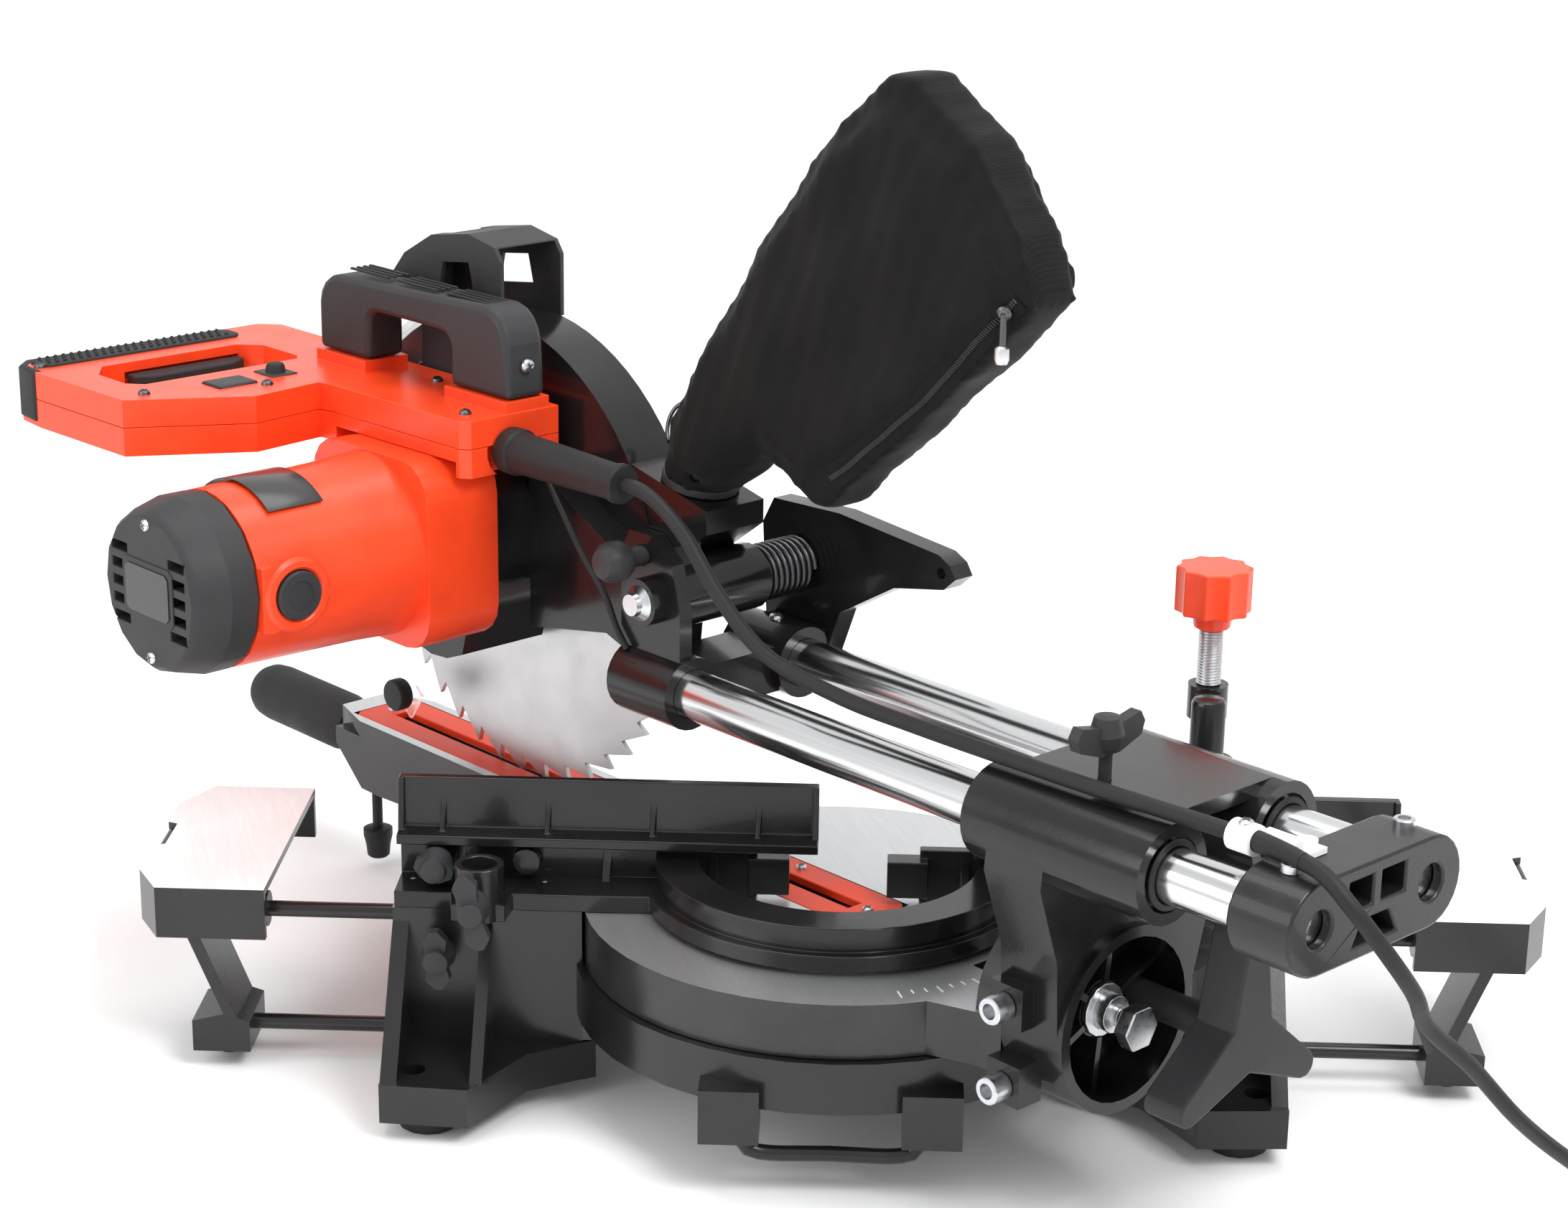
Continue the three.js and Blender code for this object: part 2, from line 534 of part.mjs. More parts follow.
function lockPin() {
  const ball = turned([[5, 0], [9, 3], [10.5, 9], [9, 15], [5, 18]], V(54.3, -96, 263), V(1, 0, 0), 14);
  return join(ball, rodX(5, 37.6, 56, -96, 263, 16));
}

function motorBody() {
  const { y, z, r, flangeR, flange, body, cap } = MOTOR;
  const c = flangeR - 20;
  const square = [...arc(y + c, z + c, 20, 0, 90, 4), ...arc(y - c, z + c, 20, 90, 180, 4), ...arc(y - c, z - c, 20, 180, 270, 4), ...arc(y + c, z - c, 20, 270, 360, 4)];
  const plate = alongX(square, flange, body);
  const barrel = turned([[flangeR - 1, 0], [r + 1.5, 26], [r, cap - body]], V(body - 0.5, y, z), V(1, 0, 0), 30);
  const brush = rodY(17, cap - 6, y + 25, y + r + 2, z - 1, 18);
  return cut(join(plate, barrel, brush), box(cap - GAP, cap + 40, y - 80, y + 80, z - 80, z + 80));
}

function motorCap() {
  const { y, z, r, cap, end } = MOTOR;
  const deep = end - cap;
  const rings = [[r, 0.4], [r, deep * 0.45], [r - 4, deep - 4], [r - 7, deep]];
  const shell = turned(rings, V(cap, y, z), V(1, 0, 0), 16);
  const slots = [];
  for (const side of [-1, 1]) {
    for (let i = -2; i <= 2; i++) {
      const zc = z + i * 9;
      slots.push(box(end - 8, end + 5, y + side * 25 - 7, y + side * 25 + 7, zc - 2.4, zc + 2.4));
    }
  }
  return cut(shell, ...slots);
}

const arbor = () => join(
  rodX(8, 1.8, 61, BLADE.y, BLADE.z, 14),
  rodX(20, 1.8, 6, BLADE.y, BLADE.z, 20),
);

function blade() {
  const { y, z, r, half, teeth } = BLADE;
  const points = [];
  const pitch = 360 / teeth;
  const start = -127.6;
  for (let i = 0; i < teeth; i++) {
    const a = start + i * pitch;
    for (const [radius, shift] of [[r, 0], [r - 9, -0.4], [r - 6, 3.4]]) {
      const t = THREE.MathUtils.degToRad(a + shift);
      points.push([y + radius * Math.cos(t), z + radius * Math.sin(t)]);
    }
  }
  points.reverse();
  const plate = alongX(points, -half, half);
  const clampFlange = rodX(20, -5, -half + 0.1, y, z, 20);
  const bolt = rodX(8, -5.9, -5 + 0.1, y, z, 6);
  return join(plate, clampFlange, bolt);
}

// Plan outlines of the handle housing: the loop with its opening, and the block behind it.
const GRIP_FRONT = -438;
const LOOP = [
  [92, -299],
  [135, -294],
  [192, -329],
  [194, -409],
  [192, -430],
  [184, GRIP_FRONT],
  [38, GRIP_FRONT],
  [28.3, -428],
  [28.3, -300],
];
const OPENING = [[70, -352], [164, -352], [171, -360], [171, -386], [160, -401], [76, -401], [66, -390], [66, -358]];
const BLOCK = [[28.3, -310], [28.3, -181], [84, -181], [88, -186], [91, -290], [93, -300], [64, -310]];

function handleHalf(low, high) {
  const loop = cut(alongZ(LOOP, low, high), alongZ(OPENING, low - 5, high + 5));
  return join(loop, alongZ(BLOCK, low, high));
}

const triggerSeat = () => box(75.4, 146.6, -408, -399, 296.3, 314.7);

function handleUpper() {
  const rise = (y0, y1) => box(34, 62, y0, y1, HANDLE.top - 2, HANDLE.top + 6);
    const body = join(handleHalf(HANDLE.seam + GAP / 2, HANDLE.top), rise(-345, -301), rise(-232, -181.5));
  const { x, y } = BUTTONS;
  const rockerWell = box(x - 12, x + 12, y - 9, y + 9, HANDLE.top - 8, HANDLE.top + 5);
  const lockWell = rodZ(8.4, LOCK_OFF.x, LOCK_OFF.y, HANDLE.top - 12.5, HANDLE.top + 5, 14);
  return cut(body, rockerWell, lockWell, triggerSeat());
}

function handleLower() {
  const gearboxBelow = rodX(48 + GAP, 20, MOTOR.flange, MOTOR.y, MOTOR.z, 30);
  const across = MOTOR.flangeR + GAP;
  const motorBelow = box(MOTOR.flange - GAP, 120, MOTOR.y - across, MOTOR.y + across, 240, MOTOR.z + across);
  const half = handleHalf(HANDLE.bottom, HANDLE.seam - GAP / 2);
  return cut(half, triggerSeat(), gearboxBelow, motorBelow, rodY(14, BOOT.x, -188, -170, BOOT.z, 18));
}

function carryHandle() {
  const foot = HANDLE.top + 6 + GAP;
  const outer = [[-345, foot], ...arc(-327, 350, 18, 175, 95, 4), ...arc(-203, 352, 20, 85, 5, 4), [-181.5, foot]];
  const inner = [[-301, foot - 1], ...arc(-293, 345, 8, 170, 90, 3), ...arc(-238, 344, 9, 90, 10, 3), [-230, foot - 1]];
  return cut(alongX(outer, 36, 60), alongX(inner, 30, 66));
}

const trigger = () => alongZ([[76, -400.6], [146, -400.6], [146, -393], [136, -388], [88, -388], [76, -394]], 297, 314);

function rocker() {
  const { x, y } = BUTTONS;
  return box(x - 11.6, x + 11.6, y - 8.6, y + 8.6, HANDLE.top - 5.6, HANDLE.top + 1.2);
}

function lockOff() {
  const rings = [[8, 0], [8, 7.4], [5, 7.6], [5, 12], [3.5, 13]];
  return turned(rings, V(LOCK_OFF.x, LOCK_OFF.y, HANDLE.top - 7.4), V(0, 0, 1), 14);
}

function cableBoot() {
  const length = BOOT.rear - BOOT.front;
  const rings = [[12, GAP], [12, 8], [10.5, 9], [9, length - 6], [9, length - 5], [10, length - 4], [10, length]];
  const body = turned(rings, V(BOOT.x, BOOT.front, BOOT.z), V(0, 1, 0), 18);
  return cut(body, rodY(4.6, BOOT.x, BOOT.rear - 12, BOOT.rear + 5, BOOT.z, 16));
}

// The lower guard is a channel that swings round the blade; its cover is the same channel, larger.
function channel(inner, outer, from, to, left, right, wall, depth) {
  const steps = Math.round((to - from) / 7);
  const rim = alongX(sector(BLADE.y, BLADE.z, inner, outer, from, to, steps), left, right);
  const side = (x0) => alongX(sector(BLADE.y, BLADE.z, inner - depth, outer, from, to, steps), x0, x0 + wall);
  return join(rim, side(left), side(right - wall));
}

const lowerGuard = () => join(
  rodX(15, -13, -10.8, BLADE.y, BLADE.z, 14),
  alongX(sector(BLADE.y, BLADE.z, 5, 125, 162, 188, 3), -13, -10.8),
  channel(134.5, 137.5, 114, 226, -13, 22.5, 2.2, 20),
  alongX(sector(BLADE.y, BLADE.z, 117, 136, 222, 235, 2), 20.3, 22.5),
);

// The cover over the top of the guards: two side walls, a roof with a window and an open rear.
function guardCover() {
  const [left, right, wall] = [-16.5, 25.5, 2.5];
  const outer = [[-328, 346], [-325, 366], [-314, 378], [-290, 391], [-258, 396], [-236, 392], [-231, 385], [-231, 352]];
  const inner = [[-325.5, 340], [-323.5, 365], [-312, 375.5], [-289, 388], [-258, 393], [-222, 390], [-222, 340]];
  const sideWindow = [[-284, 362], [-280, 378], [-258, 381], [-254, 366]];
  const shell = cut(alongX(outer, left, right), alongX(inner, left + wall, right - wall));
  const strap = box(right - wall, right, -300, -262, MOTOR.z + 48 + GAP, 352);
  return cut(join(shell, strap), alongX(sideWindow, -30, 40), box(-8, 17, -310, -282, 365, 400));
}

function guardRoller() {
  const a = THREE.MathUtils.degToRad(230);
  const reach = 126;
  const y = BLADE.y + reach * Math.cos(a);
  const z = BLADE.z + reach * Math.sin(a);
  return turned([[4, 0], [4, 1], [8.5, 1.2], [9, 3], [9, 8], [8, 9.5], [4, 9.6]], V(22.9, y, z), V(1, 0, 0), 14);
}

const PORT_AXIS = V(0, 16, 72).normalize();
const PORT_START = V(0, -104, 290.2);
const alongPort = (distance) => PORT_START.clone().addScaledVector(PORT_AXIS, distance);

function dustPort() {
  const body = turned([[20, 0], [20, 4], [18, 4.5], [18, 26]], PORT_START, PORT_AXIS, 18);
  return cut(body, rod(15.5, alongPort(3), alongPort(30), 14));
}

// The dust bag as a plain pillow: an outline in the blade's plane, thinner towards its edges.
function dustBag() {
  const plan = [[-116, 302], [-114, 330], [-92, 366], [-58, 414], [-10, 474], [34, 516], [50, 518], [92, 490], [118, 456], [130, 424], [56, 356], [0, 306], [-20, 314], [-46, 322], [-70, 306]];
  const middle = [[-106, 308], [-104, 330], [-82, 368], [-48, 414], [-2, 468], [38, 502], [82, 480], [106, 450], [114, 426], [48, 364], [-8, 324], [-44, 336], [-74, 312]];
  const cuff = rod(22, alongPort(6), alongPort(40), 18);
  return cut(join(alongX(plan, -16, 16), alongX(middle, -32, 24), cuff), rod(18.4, alongPort(-10), alongPort(27), 18));
}

// ---- hold-down clamp ----
function clampPost() {
  const { x, y } = FENCE_SOCKET;
  return turned([[8.2, 0], [8.2, 114], [7, 116]], V(-x, y, 104), V(0, 0, 1), 18);
}

function clampArm() {
  const { x, y } = FENCE_SOCKET;
  const across = [
    [-x - 7, y],
    [CLAMP.x - 6, CLAMP.y],
    [CLAMP.x + 6, CLAMP.y],
    [-x + 7, y],
  ];
  const under = [[y + 14, 170], [y + 14, 184], [y - 10, 190], [CLAMP.y + 14, 204], [CLAMP.y - 14, 204], [CLAMP.y - 14, 189], [y - 10, 170]];
  const web = alongZ(across, 160, 220).intersect(alongX(under, -200, -140));
  const arm = join(web, rodZ(13, -x, y, 172, 190, 18), rodZ(10, CLAMP.x, CLAMP.y, 189, 206, 18));
  return cut(arm, rodZ(8.5, -x, y, 160, 220, 18), rodZ(4.4, CLAMP.x, CLAMP.y, 170, 220, 16));
}

function clampScrew() {
  const { x, y } = CLAMP;
  const flutes = [];
  const lobes = 10;
  for (let i = 0; i < lobes * 2; i++) {
    const a = (i * Math.PI) / lobes;
    const r = i % 2 ? 16.5 : 19;
    flutes.push([x + r * Math.cos(a), y + r * Math.sin(a)]);
  }
  const knob = join(alongZ(flutes, 243, 266), turned([[9, 0], [10, 8.2]], V(x, y, 235), V(0, 0, 1), 14));
  const pad = turned([[15, 0], [15, 3], [8, 5], [6, 12]], V(x, y, 150), V(0, 0, 1), 18);
  return join(knob, rodZ(4, x, y, 160, 236, 16), pad);
}

// ---- leads ----
const LEAD_R = 3.9;
const CLIP = { x: 36, y: 276, z: RAIL.z + 21 + LEAD_R + 2.5 };
const HELD_LEAD = [
  V(BOOT.x, BOOT.rear - 6, BOOT.z),
  V(BOOT.x, BOOT.rear + 16, BOOT.z - 1),
  V(60, -50, 288),
  V(58, -26, 262),
  V(56, 4, 240),
  V(50, 48, 229),
  V(46, 96, 226),
  V(44, 150, 225.4),
  V(42, 205, 225.2),
  V(38, 250, 224.8),
  V(CLIP.x, 269, CLIP.z),
  V(CLIP.x, CLIP.y - 0.3, CLIP.z),
];

const CORD_Z = LEAD_R + 0.2;
const FREE_CORD = [
  V(-169.7, 220.6, CLIP.z),
  V(-179.3, 230.9, CLIP.z),
  V(-188.8, 244, CLIP.z),
  V(-197.4, 256, 222.8),
  V(-208.5, 265, 212),
  V(-224, 264, 192),
  V(-238, 252, 170),
  V(-249, 228, 145),
  V(-274, 203, 115),
  V(-301, 181, 80),
  V(-332, 152, 46),
  V(-362, 128, 19),
  V(-400, 111, CORD_Z + 1.2),
  V(-440, 104, CORD_Z),
  V(-470, 106, CORD_Z),
];
const COIL = { x: -465.9, y: 165.3, mean: 43, turnsAcross: 3, turnsUp: 4 };

function cordCoil() {
  const half = (COIL.turnsAcross * LEAD_R * 2) / 2 + 0.4;
  const high = COIL.turnsUp * LEAD_R * 2;
  const inner = COIL.mean - half;
  const outer = COIL.mean + half;
  const ring = [[inner, 0.2], [outer, 0.2], [outer, high], [inner, high]].map(([r, h]) => new THREE.Vector2(r, h));
  const g = new THREE.LatheGeometry([...ring, ring[0]], 32);
  return solid(g.rotateX(Math.PI / 2).translate(COIL.x, COIL.y, 0));
}

function mainsPlug() {
  const z = COIL.turnsUp * LEAD_R * 2 + 0.4;
  const [x, y] = [COIL.x + 6, COIL.y + 34];
  const body = turned([[5, 0], [6, 14], [14, 20], [18, 26], [18, 38], [17, 40]], V(x - 24, y, z + 18), V(1, 0, 0), 18);
  const pins = [-9.5, 9.5].map((d) => rodX(2.4, x + 14, x + 34, y + d, z + 18, 12));
  return join(body, ...pins);
}

// ---- the object ----
place(saw, "base_casting", baseCasting(), "blackPaint");
const FOOT_PLACES = { rear_right: [196, 58], rear_left: [-196, 58], front_right: [197, -156], front_left: [-197, -156] };
for (const [corner, [x, y]] of Object.entries(FOOT_PLACES)) {
  const foot = turned([[14, 0], [16, 2], [17, PAD_BOTTOM - GAP]], V(x, y, 0), V(0, 0, 1), 14);
  place(saw, "rubber_foot_" + corner, foot, "rubber");
}
place(saw, "wire_stirrup", stirrupRod(4), "blackPaint");
place(saw, "fence_casting", fenceCasting(), "blackPaint");
place(saw, "fence_slide_right", slidingFence(10, 216.5), "blackPaint");
place(saw, "fence_slide_left", slidingFence(-272.5, -66), "blackPaint");

for (const side of [1, -1]) {
  const name = side > 0 ? "right" : "left";
  const mirrored = (body) => (side > 0 ? body : mirrorX(body));
  place(saw, "fence_knob_" + name, mirrored(thumbKnob(197, 2.3, 118, 0.3, 9.6)), "blackPlastic");
  const socketSeat = FENCE_SOCKET.y + FENCE_SOCKET.r + GAP;
  place(saw, "socket_knob_" + name, mirrored(thumbKnob(FENCE_SOCKET.x, socketSeat, 114, 1.35, 19)), "blackPlastic");
  place(saw, "wing_knob_" + name, mirrored(thumbKnob(193, BASE_REAR + GAP, ROD.upperZ, 1.5, 15)), "blackPlastic");
  place(saw, "wing_" + name, mirrored(wingFrame()), "blackPaint");
  place(saw, "wing_stop_" + name, mirrored(foldStop()), "blackPaint");
}

place(table, "turntable", turntable(), "greyPaint");
place(table, "kerf_insert", kerfInsert(), "orangePlastic");
place(table, "mitre_grip", mitreGrip(), "blackPlastic");
place(table, "arm_foot", armFoot(), "rubber");
place(table, "mitre_pivot_bolt", turned([[13, 0], [13, 7], [8, 7.1], [8, 47]], V(0, 0, 46.6), V(0, 0, 1), 14), "steel");

place(table, "bevel_arm", bevelArm(), "blackPaint");
place(table, "bevel_bolt", bevelBolt(), "steel");
place(table, "star_handle", starHandle(), "blackPlastic");
place(table, "rail_knob", railKnob(), "blackPlastic");

place(table, "rail_near", rodY(RAIL.r, RAIL.x, RAIL.front + 1.4, RAIL.rear, RAIL.z, 20), "steel");
place(table, "rail_far", rodY(RAIL.r, -RAIL.x, RAIL.front + 1.4, RAIL.rear, RAIL.z, 20), "steel");
place(table, "front_bracket", frontBracket(), "blackPaint");
place(table, "rear_bracket", rearBracket(), "blackPaint");
place(table, "cable_clip", cableClip(), "nylon");

place(table, "head_casting", headCasting(), "blackPaint");
place(table, "pivot_shaft", pivotShaft(), "steel");
place(table, "lock_pin", lockPin(), "blackPlastic");
place(table, "motor_body", motorBody(), "orangePlastic");
place(table, "motor_end_cap", motorCap(), "blackPlastic");
place(table, "arbor", arbor(), "steel");
place(table, "saw_blade", blade(), "steel");
place(table, "handle_upper", handleUpper(), "orangePlastic");
place(table, "handle_lower", handleLower(), "orangePlastic");
place(table, "carry_handle", carryHandle(), "blackPlastic");
place(table, "trigger", trigger(), "blackPlastic");
place(table, "rocker_switch", rocker(), "blackPlastic");
place(table, "lock_off_button", lockOff(), "blackPlastic");
place(table, "cable_boot", cableBoot(), "rubber");
place(table, "lower_guard", lowerGuard(), "clear");
place(table, "guard_cover", guardCover(), "greyPaint");
place(table, "guard_roller", guardRoller(), "rubber");
place(table, "dust_port", dustPort(), "blackPlastic");
place(table, "dust_bag", dustBag(), "cloth");

place(saw, "clamp_post", clampPost(), "blackPaint");
place(saw, "clamp_arm", clampArm(), "blackPaint");
place(saw, "clamp_screw", clampScrew(), "orangePlastic");

place(table, "held_lead", tube(HELD_LEAD, LEAD_R, 44, 8), "rubber");
place(saw, "power_cord", tube(FREE_CORD, LEAD_R, 44, 8), "rubber");
place(saw, "cord_coil", cordCoil(), "rubber");
place(saw, "mains_plug", mainsPlug(), "rubber");

// The group's origin is the middle of the saw's own outline, at bench level; the free cord is not counted.
const CORD_NODES = ["power_cord", "cord_coil", "mains_plug"];
saw.updateMatrixWorld(true);
const own = new THREE.Box3();
saw.traverse((piece) => {
  if (piece.isMesh && !CORD_NODES.includes(piece.name)) own.expandByObject(piece, true);
});
const middle = own.getCenter(V(0, 0, 0));
saw.position.set(-middle.x, -middle.y, -own.min.z);

export default saw;
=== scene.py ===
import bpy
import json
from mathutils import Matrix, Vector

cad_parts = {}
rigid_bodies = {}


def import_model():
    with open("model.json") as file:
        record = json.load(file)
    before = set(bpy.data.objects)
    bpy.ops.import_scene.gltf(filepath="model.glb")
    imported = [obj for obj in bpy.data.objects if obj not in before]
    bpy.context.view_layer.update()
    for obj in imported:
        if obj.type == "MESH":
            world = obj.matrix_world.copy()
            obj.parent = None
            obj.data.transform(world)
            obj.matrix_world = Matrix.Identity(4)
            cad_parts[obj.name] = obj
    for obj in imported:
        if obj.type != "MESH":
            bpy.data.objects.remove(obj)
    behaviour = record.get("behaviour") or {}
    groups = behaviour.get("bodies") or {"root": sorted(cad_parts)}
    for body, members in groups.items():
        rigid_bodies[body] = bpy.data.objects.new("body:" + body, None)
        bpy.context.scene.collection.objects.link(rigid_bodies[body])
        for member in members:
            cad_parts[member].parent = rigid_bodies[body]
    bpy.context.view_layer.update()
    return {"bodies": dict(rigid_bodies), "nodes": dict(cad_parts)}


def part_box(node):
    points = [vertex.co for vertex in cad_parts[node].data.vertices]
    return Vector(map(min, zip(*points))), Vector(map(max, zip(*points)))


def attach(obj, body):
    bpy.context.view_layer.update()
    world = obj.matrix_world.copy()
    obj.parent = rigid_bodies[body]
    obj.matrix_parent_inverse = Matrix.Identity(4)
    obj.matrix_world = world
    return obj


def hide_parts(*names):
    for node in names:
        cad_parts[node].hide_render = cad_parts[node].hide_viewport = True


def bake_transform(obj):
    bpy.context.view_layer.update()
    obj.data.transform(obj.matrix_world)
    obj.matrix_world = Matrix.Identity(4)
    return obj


bl_info = {
    "name": "Mitre Saw",
    "version": (1, 0, 0),
    "blender": (4, 5, 0),
    "location": "3D View > Sidebar > Saw",
    "description": "Finishes and details for a sliding mitre saw on its cast base",
    "category": "Object",
}

import json
import math

import bmesh
import bpy
from bpy.props import FloatProperty, FloatVectorProperty, PointerProperty
from mathutils import Matrix, Vector
from mathutils.bvhtree import BVHTree

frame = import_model()

MM = 0.001
MITRE = math.radians(45)
FOOT_Y = 58
USUAL_EDGE = 0.0011
BAG_VOXEL = 5
BAG_CAP = 6
BAG_FRAMES = 16
BAG_GRAVITY = 0.15
MACHINED = (0.62, 0.63, 0.64)


# ---- places: the saw's own frame has the mitre pivot at x = y = 0 and the bench at z = 0 ----
def middle(node):
    low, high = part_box(node)
    return (Vector(low) + Vector(high)) / 2


_right, _left = middle("rubber_foot_rear_right"), middle("rubber_foot_rear_left")
ORIGIN = Vector(((_right.x + _left.x) / 2, _right.y - FOOT_Y * MM, 0))
TO_SAW = Matrix.Translation(ORIGIN)
TO_TABLE = TO_SAW @ Matrix.Rotation(MITRE, 4, "Z")


def saw(x, y, z):
    """A point in the saw's frame, millimetres, +X to the user's right."""
    return TO_SAW @ (Vector((x, y, z)) * MM)


def tab(x, y, z):
    """A point in the turned table's frame, millimetres, +Y to the rear of the rails."""
    return TO_TABLE @ (Vector((x, y, z)) * MM)


def way(place, x, y, z):
    """A direction in the frame of place, which is saw or tab."""
    return (place(x, y, z) - place(0, 0, 0)).normalized()


# ---- settings ----
class SawFinish(bpy.types.PropertyGroup):
    orange: FloatVectorProperty(
        name="Housing colour", description="Colour of the moulded housings", subtype="COLOR",
        size=3, min=0, max=1, default=(0.87, 0.058, 0.012))
    black: FloatVectorProperty(
        name="Casting colour", description="Colour of the gloss coated castings", subtype="COLOR",
        size=3, min=0, max=1, default=(0.0085, 0.0085, 0.009))
    grip: FloatVectorProperty(
        name="Grip colour", description="Colour of the dark moulded grips", subtype="COLOR",
        size=3, min=0, max=1, default=(0.028, 0.028, 0.03))


class SawSizes(bpy.types.PropertyGroup):
    edge: FloatProperty(
        name="Edge rounding", description="Radius on the castings' edges", subtype="DISTANCE",
        unit="LENGTH", default=USUAL_EDGE, min=0.0002, max=0.004)
    lead: FloatProperty(
        name="Lead diameter", description="Diameter of the mains lead", subtype="DISTANCE",
        unit="LENGTH", default=0.0074, min=0.004, max=0.012)
    puff: FloatProperty(
        name="Bag pressure", default=3.0, min=0, max=10,
        description="Air pressure in the bag's cloth; the cap on its motion hides it at present")


def sizes():
    return bpy.context.scene.saw_sizes


def colours():
    return bpy.context.scene.saw_finish


# ---- meshes ----
def mesh_object(name, bm):
    mesh = bpy.data.meshes.new(name)
    bm.normal_update()
    bm.to_mesh(mesh)
    bm.free()
    obj = bpy.data.objects.new(name, mesh)
    bpy.context.scene.collection.objects.link(obj)
    return obj


def smooth(obj, degrees=32):
    obj.data.shade_smooth()
    obj.data.set_sharp_from_angle(angle=math.radians(degrees))


def dress(obj, body, material):
    obj.data.materials.clear()
    obj.data.materials.append(FINISH[material]())
    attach(obj, body)
    return obj


def bevelled(obj, width, segments=2, angle=34):
    mod = obj.modifiers.new("edges", "BEVEL")
    mod.width = width
    mod.segments = segments
    mod.limit_method = "ANGLE"
    mod.angle_limit = math.radians(angle)
    mod.use_clamp_overlap = True
    mod.harden_normals = False
    return obj


def aimed(start, direction):
    """The matrix that puts local +Z on direction at start."""
    return Matrix.Translation(start) @ direction.to_track_quat("Z", "Y").to_matrix().to_4x4()


def turned(name, rings, start, direction, sides=48):
    """A solid of revolution; rings are (radius, distance) in millimetres from start along direction."""
    bm = bmesh.new()
    place = aimed(start, direction)
    loops = []
    for r, h in rings:
        if r == 0:
            loops.append([bm.verts.new(place @ Vector((0, 0, h * MM)))])
            continue
        ring = []
        for i in range(sides):
            a = 2 * math.pi * i / sides
            ring.append(bm.verts.new(place @ Vector((r * MM * math.cos(a), r * MM * math.sin(a), h * MM))))
        loops.append(ring)
    for low, high in zip(loops, loops[1:]):
        for i in range(sides):
            j = (i + 1) % sides
            if len(low) == 1:
                bm.faces.new((low[0], high[j], high[i]))
            elif len(high) == 1:
                bm.faces.new((low[i], low[j], high[0]))
            else:
                bm.faces.new((low[i], low[j], high[j], high[i]))
    if len(loops[0]) > 1:
        bm.faces.new(list(reversed(loops[0])))
    if len(loops[-1]) > 1:
        bm.faces.new(loops[-1])
    bmesh.ops.recalc_face_normals(bm, faces=bm.faces)
    obj = mesh_object(name, bm)
    smooth(obj)
    return obj


def rounded(radius, length, edge=0.6, back=0.0):
    """Rings of a plain round bar with a small chamfer at both ends."""
    return [(radius - edge, back), (radius, back + edge), (radius, length - edge), (radius - edge, length)]


def prism(name, outline, place, low, high, axis="x", edge=0.8, segments=3):
    """An outline in the plane across axis, extruded from low to high, with rounded edges."""
    bm = bmesh.new()

    def put(a, b, t):
        return place(*{"x": (t, a, b), "y": (a, t, b), "z": (a, b, t)}[axis])

    one = [bm.verts.new(put(a, b, low)) for a, b in outline]
    two = [bm.verts.new(put(a, b, high)) for a, b in outline]
    n = len(outline)
    bm.faces.new(one)
    bm.faces.new(two)
    for i in range(n):
        j = (i + 1) % n
        bm.faces.new((one[i], one[j], two[j], two[i]))
    bmesh.ops.recalc_face_normals(bm, faces=bm.faces)
    obj = mesh_object(name, bm)
    smooth(obj, 40)
    if edge:
        bevelled(obj, edge * MM, segments, 40)
    return obj


def bar_curve(name, points, radius, cyclic=False):
    data = bpy.data.curves.new(name, "CURVE")
    data.dimensions = "3D"
    data.bevel_depth = radius
    data.bevel_resolution = 4
    data.use_fill_caps = True
    spline = data.splines.new("POLY")
    spline.points.add(len(points) - 1)
    for p, q in zip(spline.points, points):
        p.co = (*q, 1)
    spline.use_cyclic_u = cyclic
    spline.use_smooth = True
    obj = bpy.data.objects.new(name, data)
    bpy.context.scene.collection.objects.link(obj)
    return obj


def smooth_path(points, steps=8):
    """Points along a centripetal Catmull-Rom curve through points."""
    pts = [2 * points[0] - points[1], *points, 2 * points[-1] - points[-2]]
    out = []
    for a, b, c, d in zip(pts, pts[1:], pts[2:], pts[3:]):
        t = [0.0]
        for p, q in ((a, b), (b, c), (c, d)):
            t.append(t[-1] + max((q - p).length, 1e-9) ** 0.5)
        for i in range(steps):
            u = t[1] + (t[2] - t[1]) * i / steps
            a1 = a.lerp(b, (u - t[0]) / (t[1] - t[0]))
            a2 = b.lerp(c, (u - t[1]) / (t[2] - t[1]))
            a3 = c.lerp(d, (u - t[2]) / (t[3] - t[2]))
            b1 = a1.lerp(a2, (u - t[0]) / (t[2] - t[0]))
            b2 = a2.lerp(a3, (u - t[1]) / (t[3] - t[1]))
            out.append(b1.lerp(b2, (u - t[1]) / (t[2] - t[1])))
    return [*out, points[-1]]


def helix(name, start, direction, radius, wire, turns, length):
    place = aimed(start, direction)
    steps = int(turns * 20)
    points = []
    for i in range(steps + 1):
        a = 2 * math.pi * turns * i / steps
        points.append(place @ Vector((radius * math.cos(a), radius * math.sin(a), length * i / steps)))
    return bar_curve(name, points, wire)


# ---- finishes ----
def blank(name):
    mat = bpy.data.materials.new(name)
    mat.use_nodes = True
    nodes, links = mat.node_tree.nodes, mat.node_tree.links
    return mat, nodes, links, nodes["Principled BSDF"]


def grain(nodes, links, scale, detail=3, stretch=None, turn=0.0):
    coord = nodes.new("ShaderNodeTexCoord")
    noise = nodes.new("ShaderNodeTexNoise")
    noise.inputs["Scale"].default_value = scale
    noise.inputs["Detail"].default_value = detail
    if stretch:
        mapping = nodes.new("ShaderNodeMapping")
        mapping.vector_type = "TEXTURE"
        mapping.inputs["Scale"].default_value = stretch
        mapping.inputs["Rotation"].default_value = (0, 0, turn)
        links.new(coord.outputs["Object"], mapping.inputs["Vector"])
        links.new(mapping.outputs["Vector"], noise.inputs["Vector"])
    else:
        links.new(coord.outputs["Object"], noise.inputs["Vector"])
    return noise


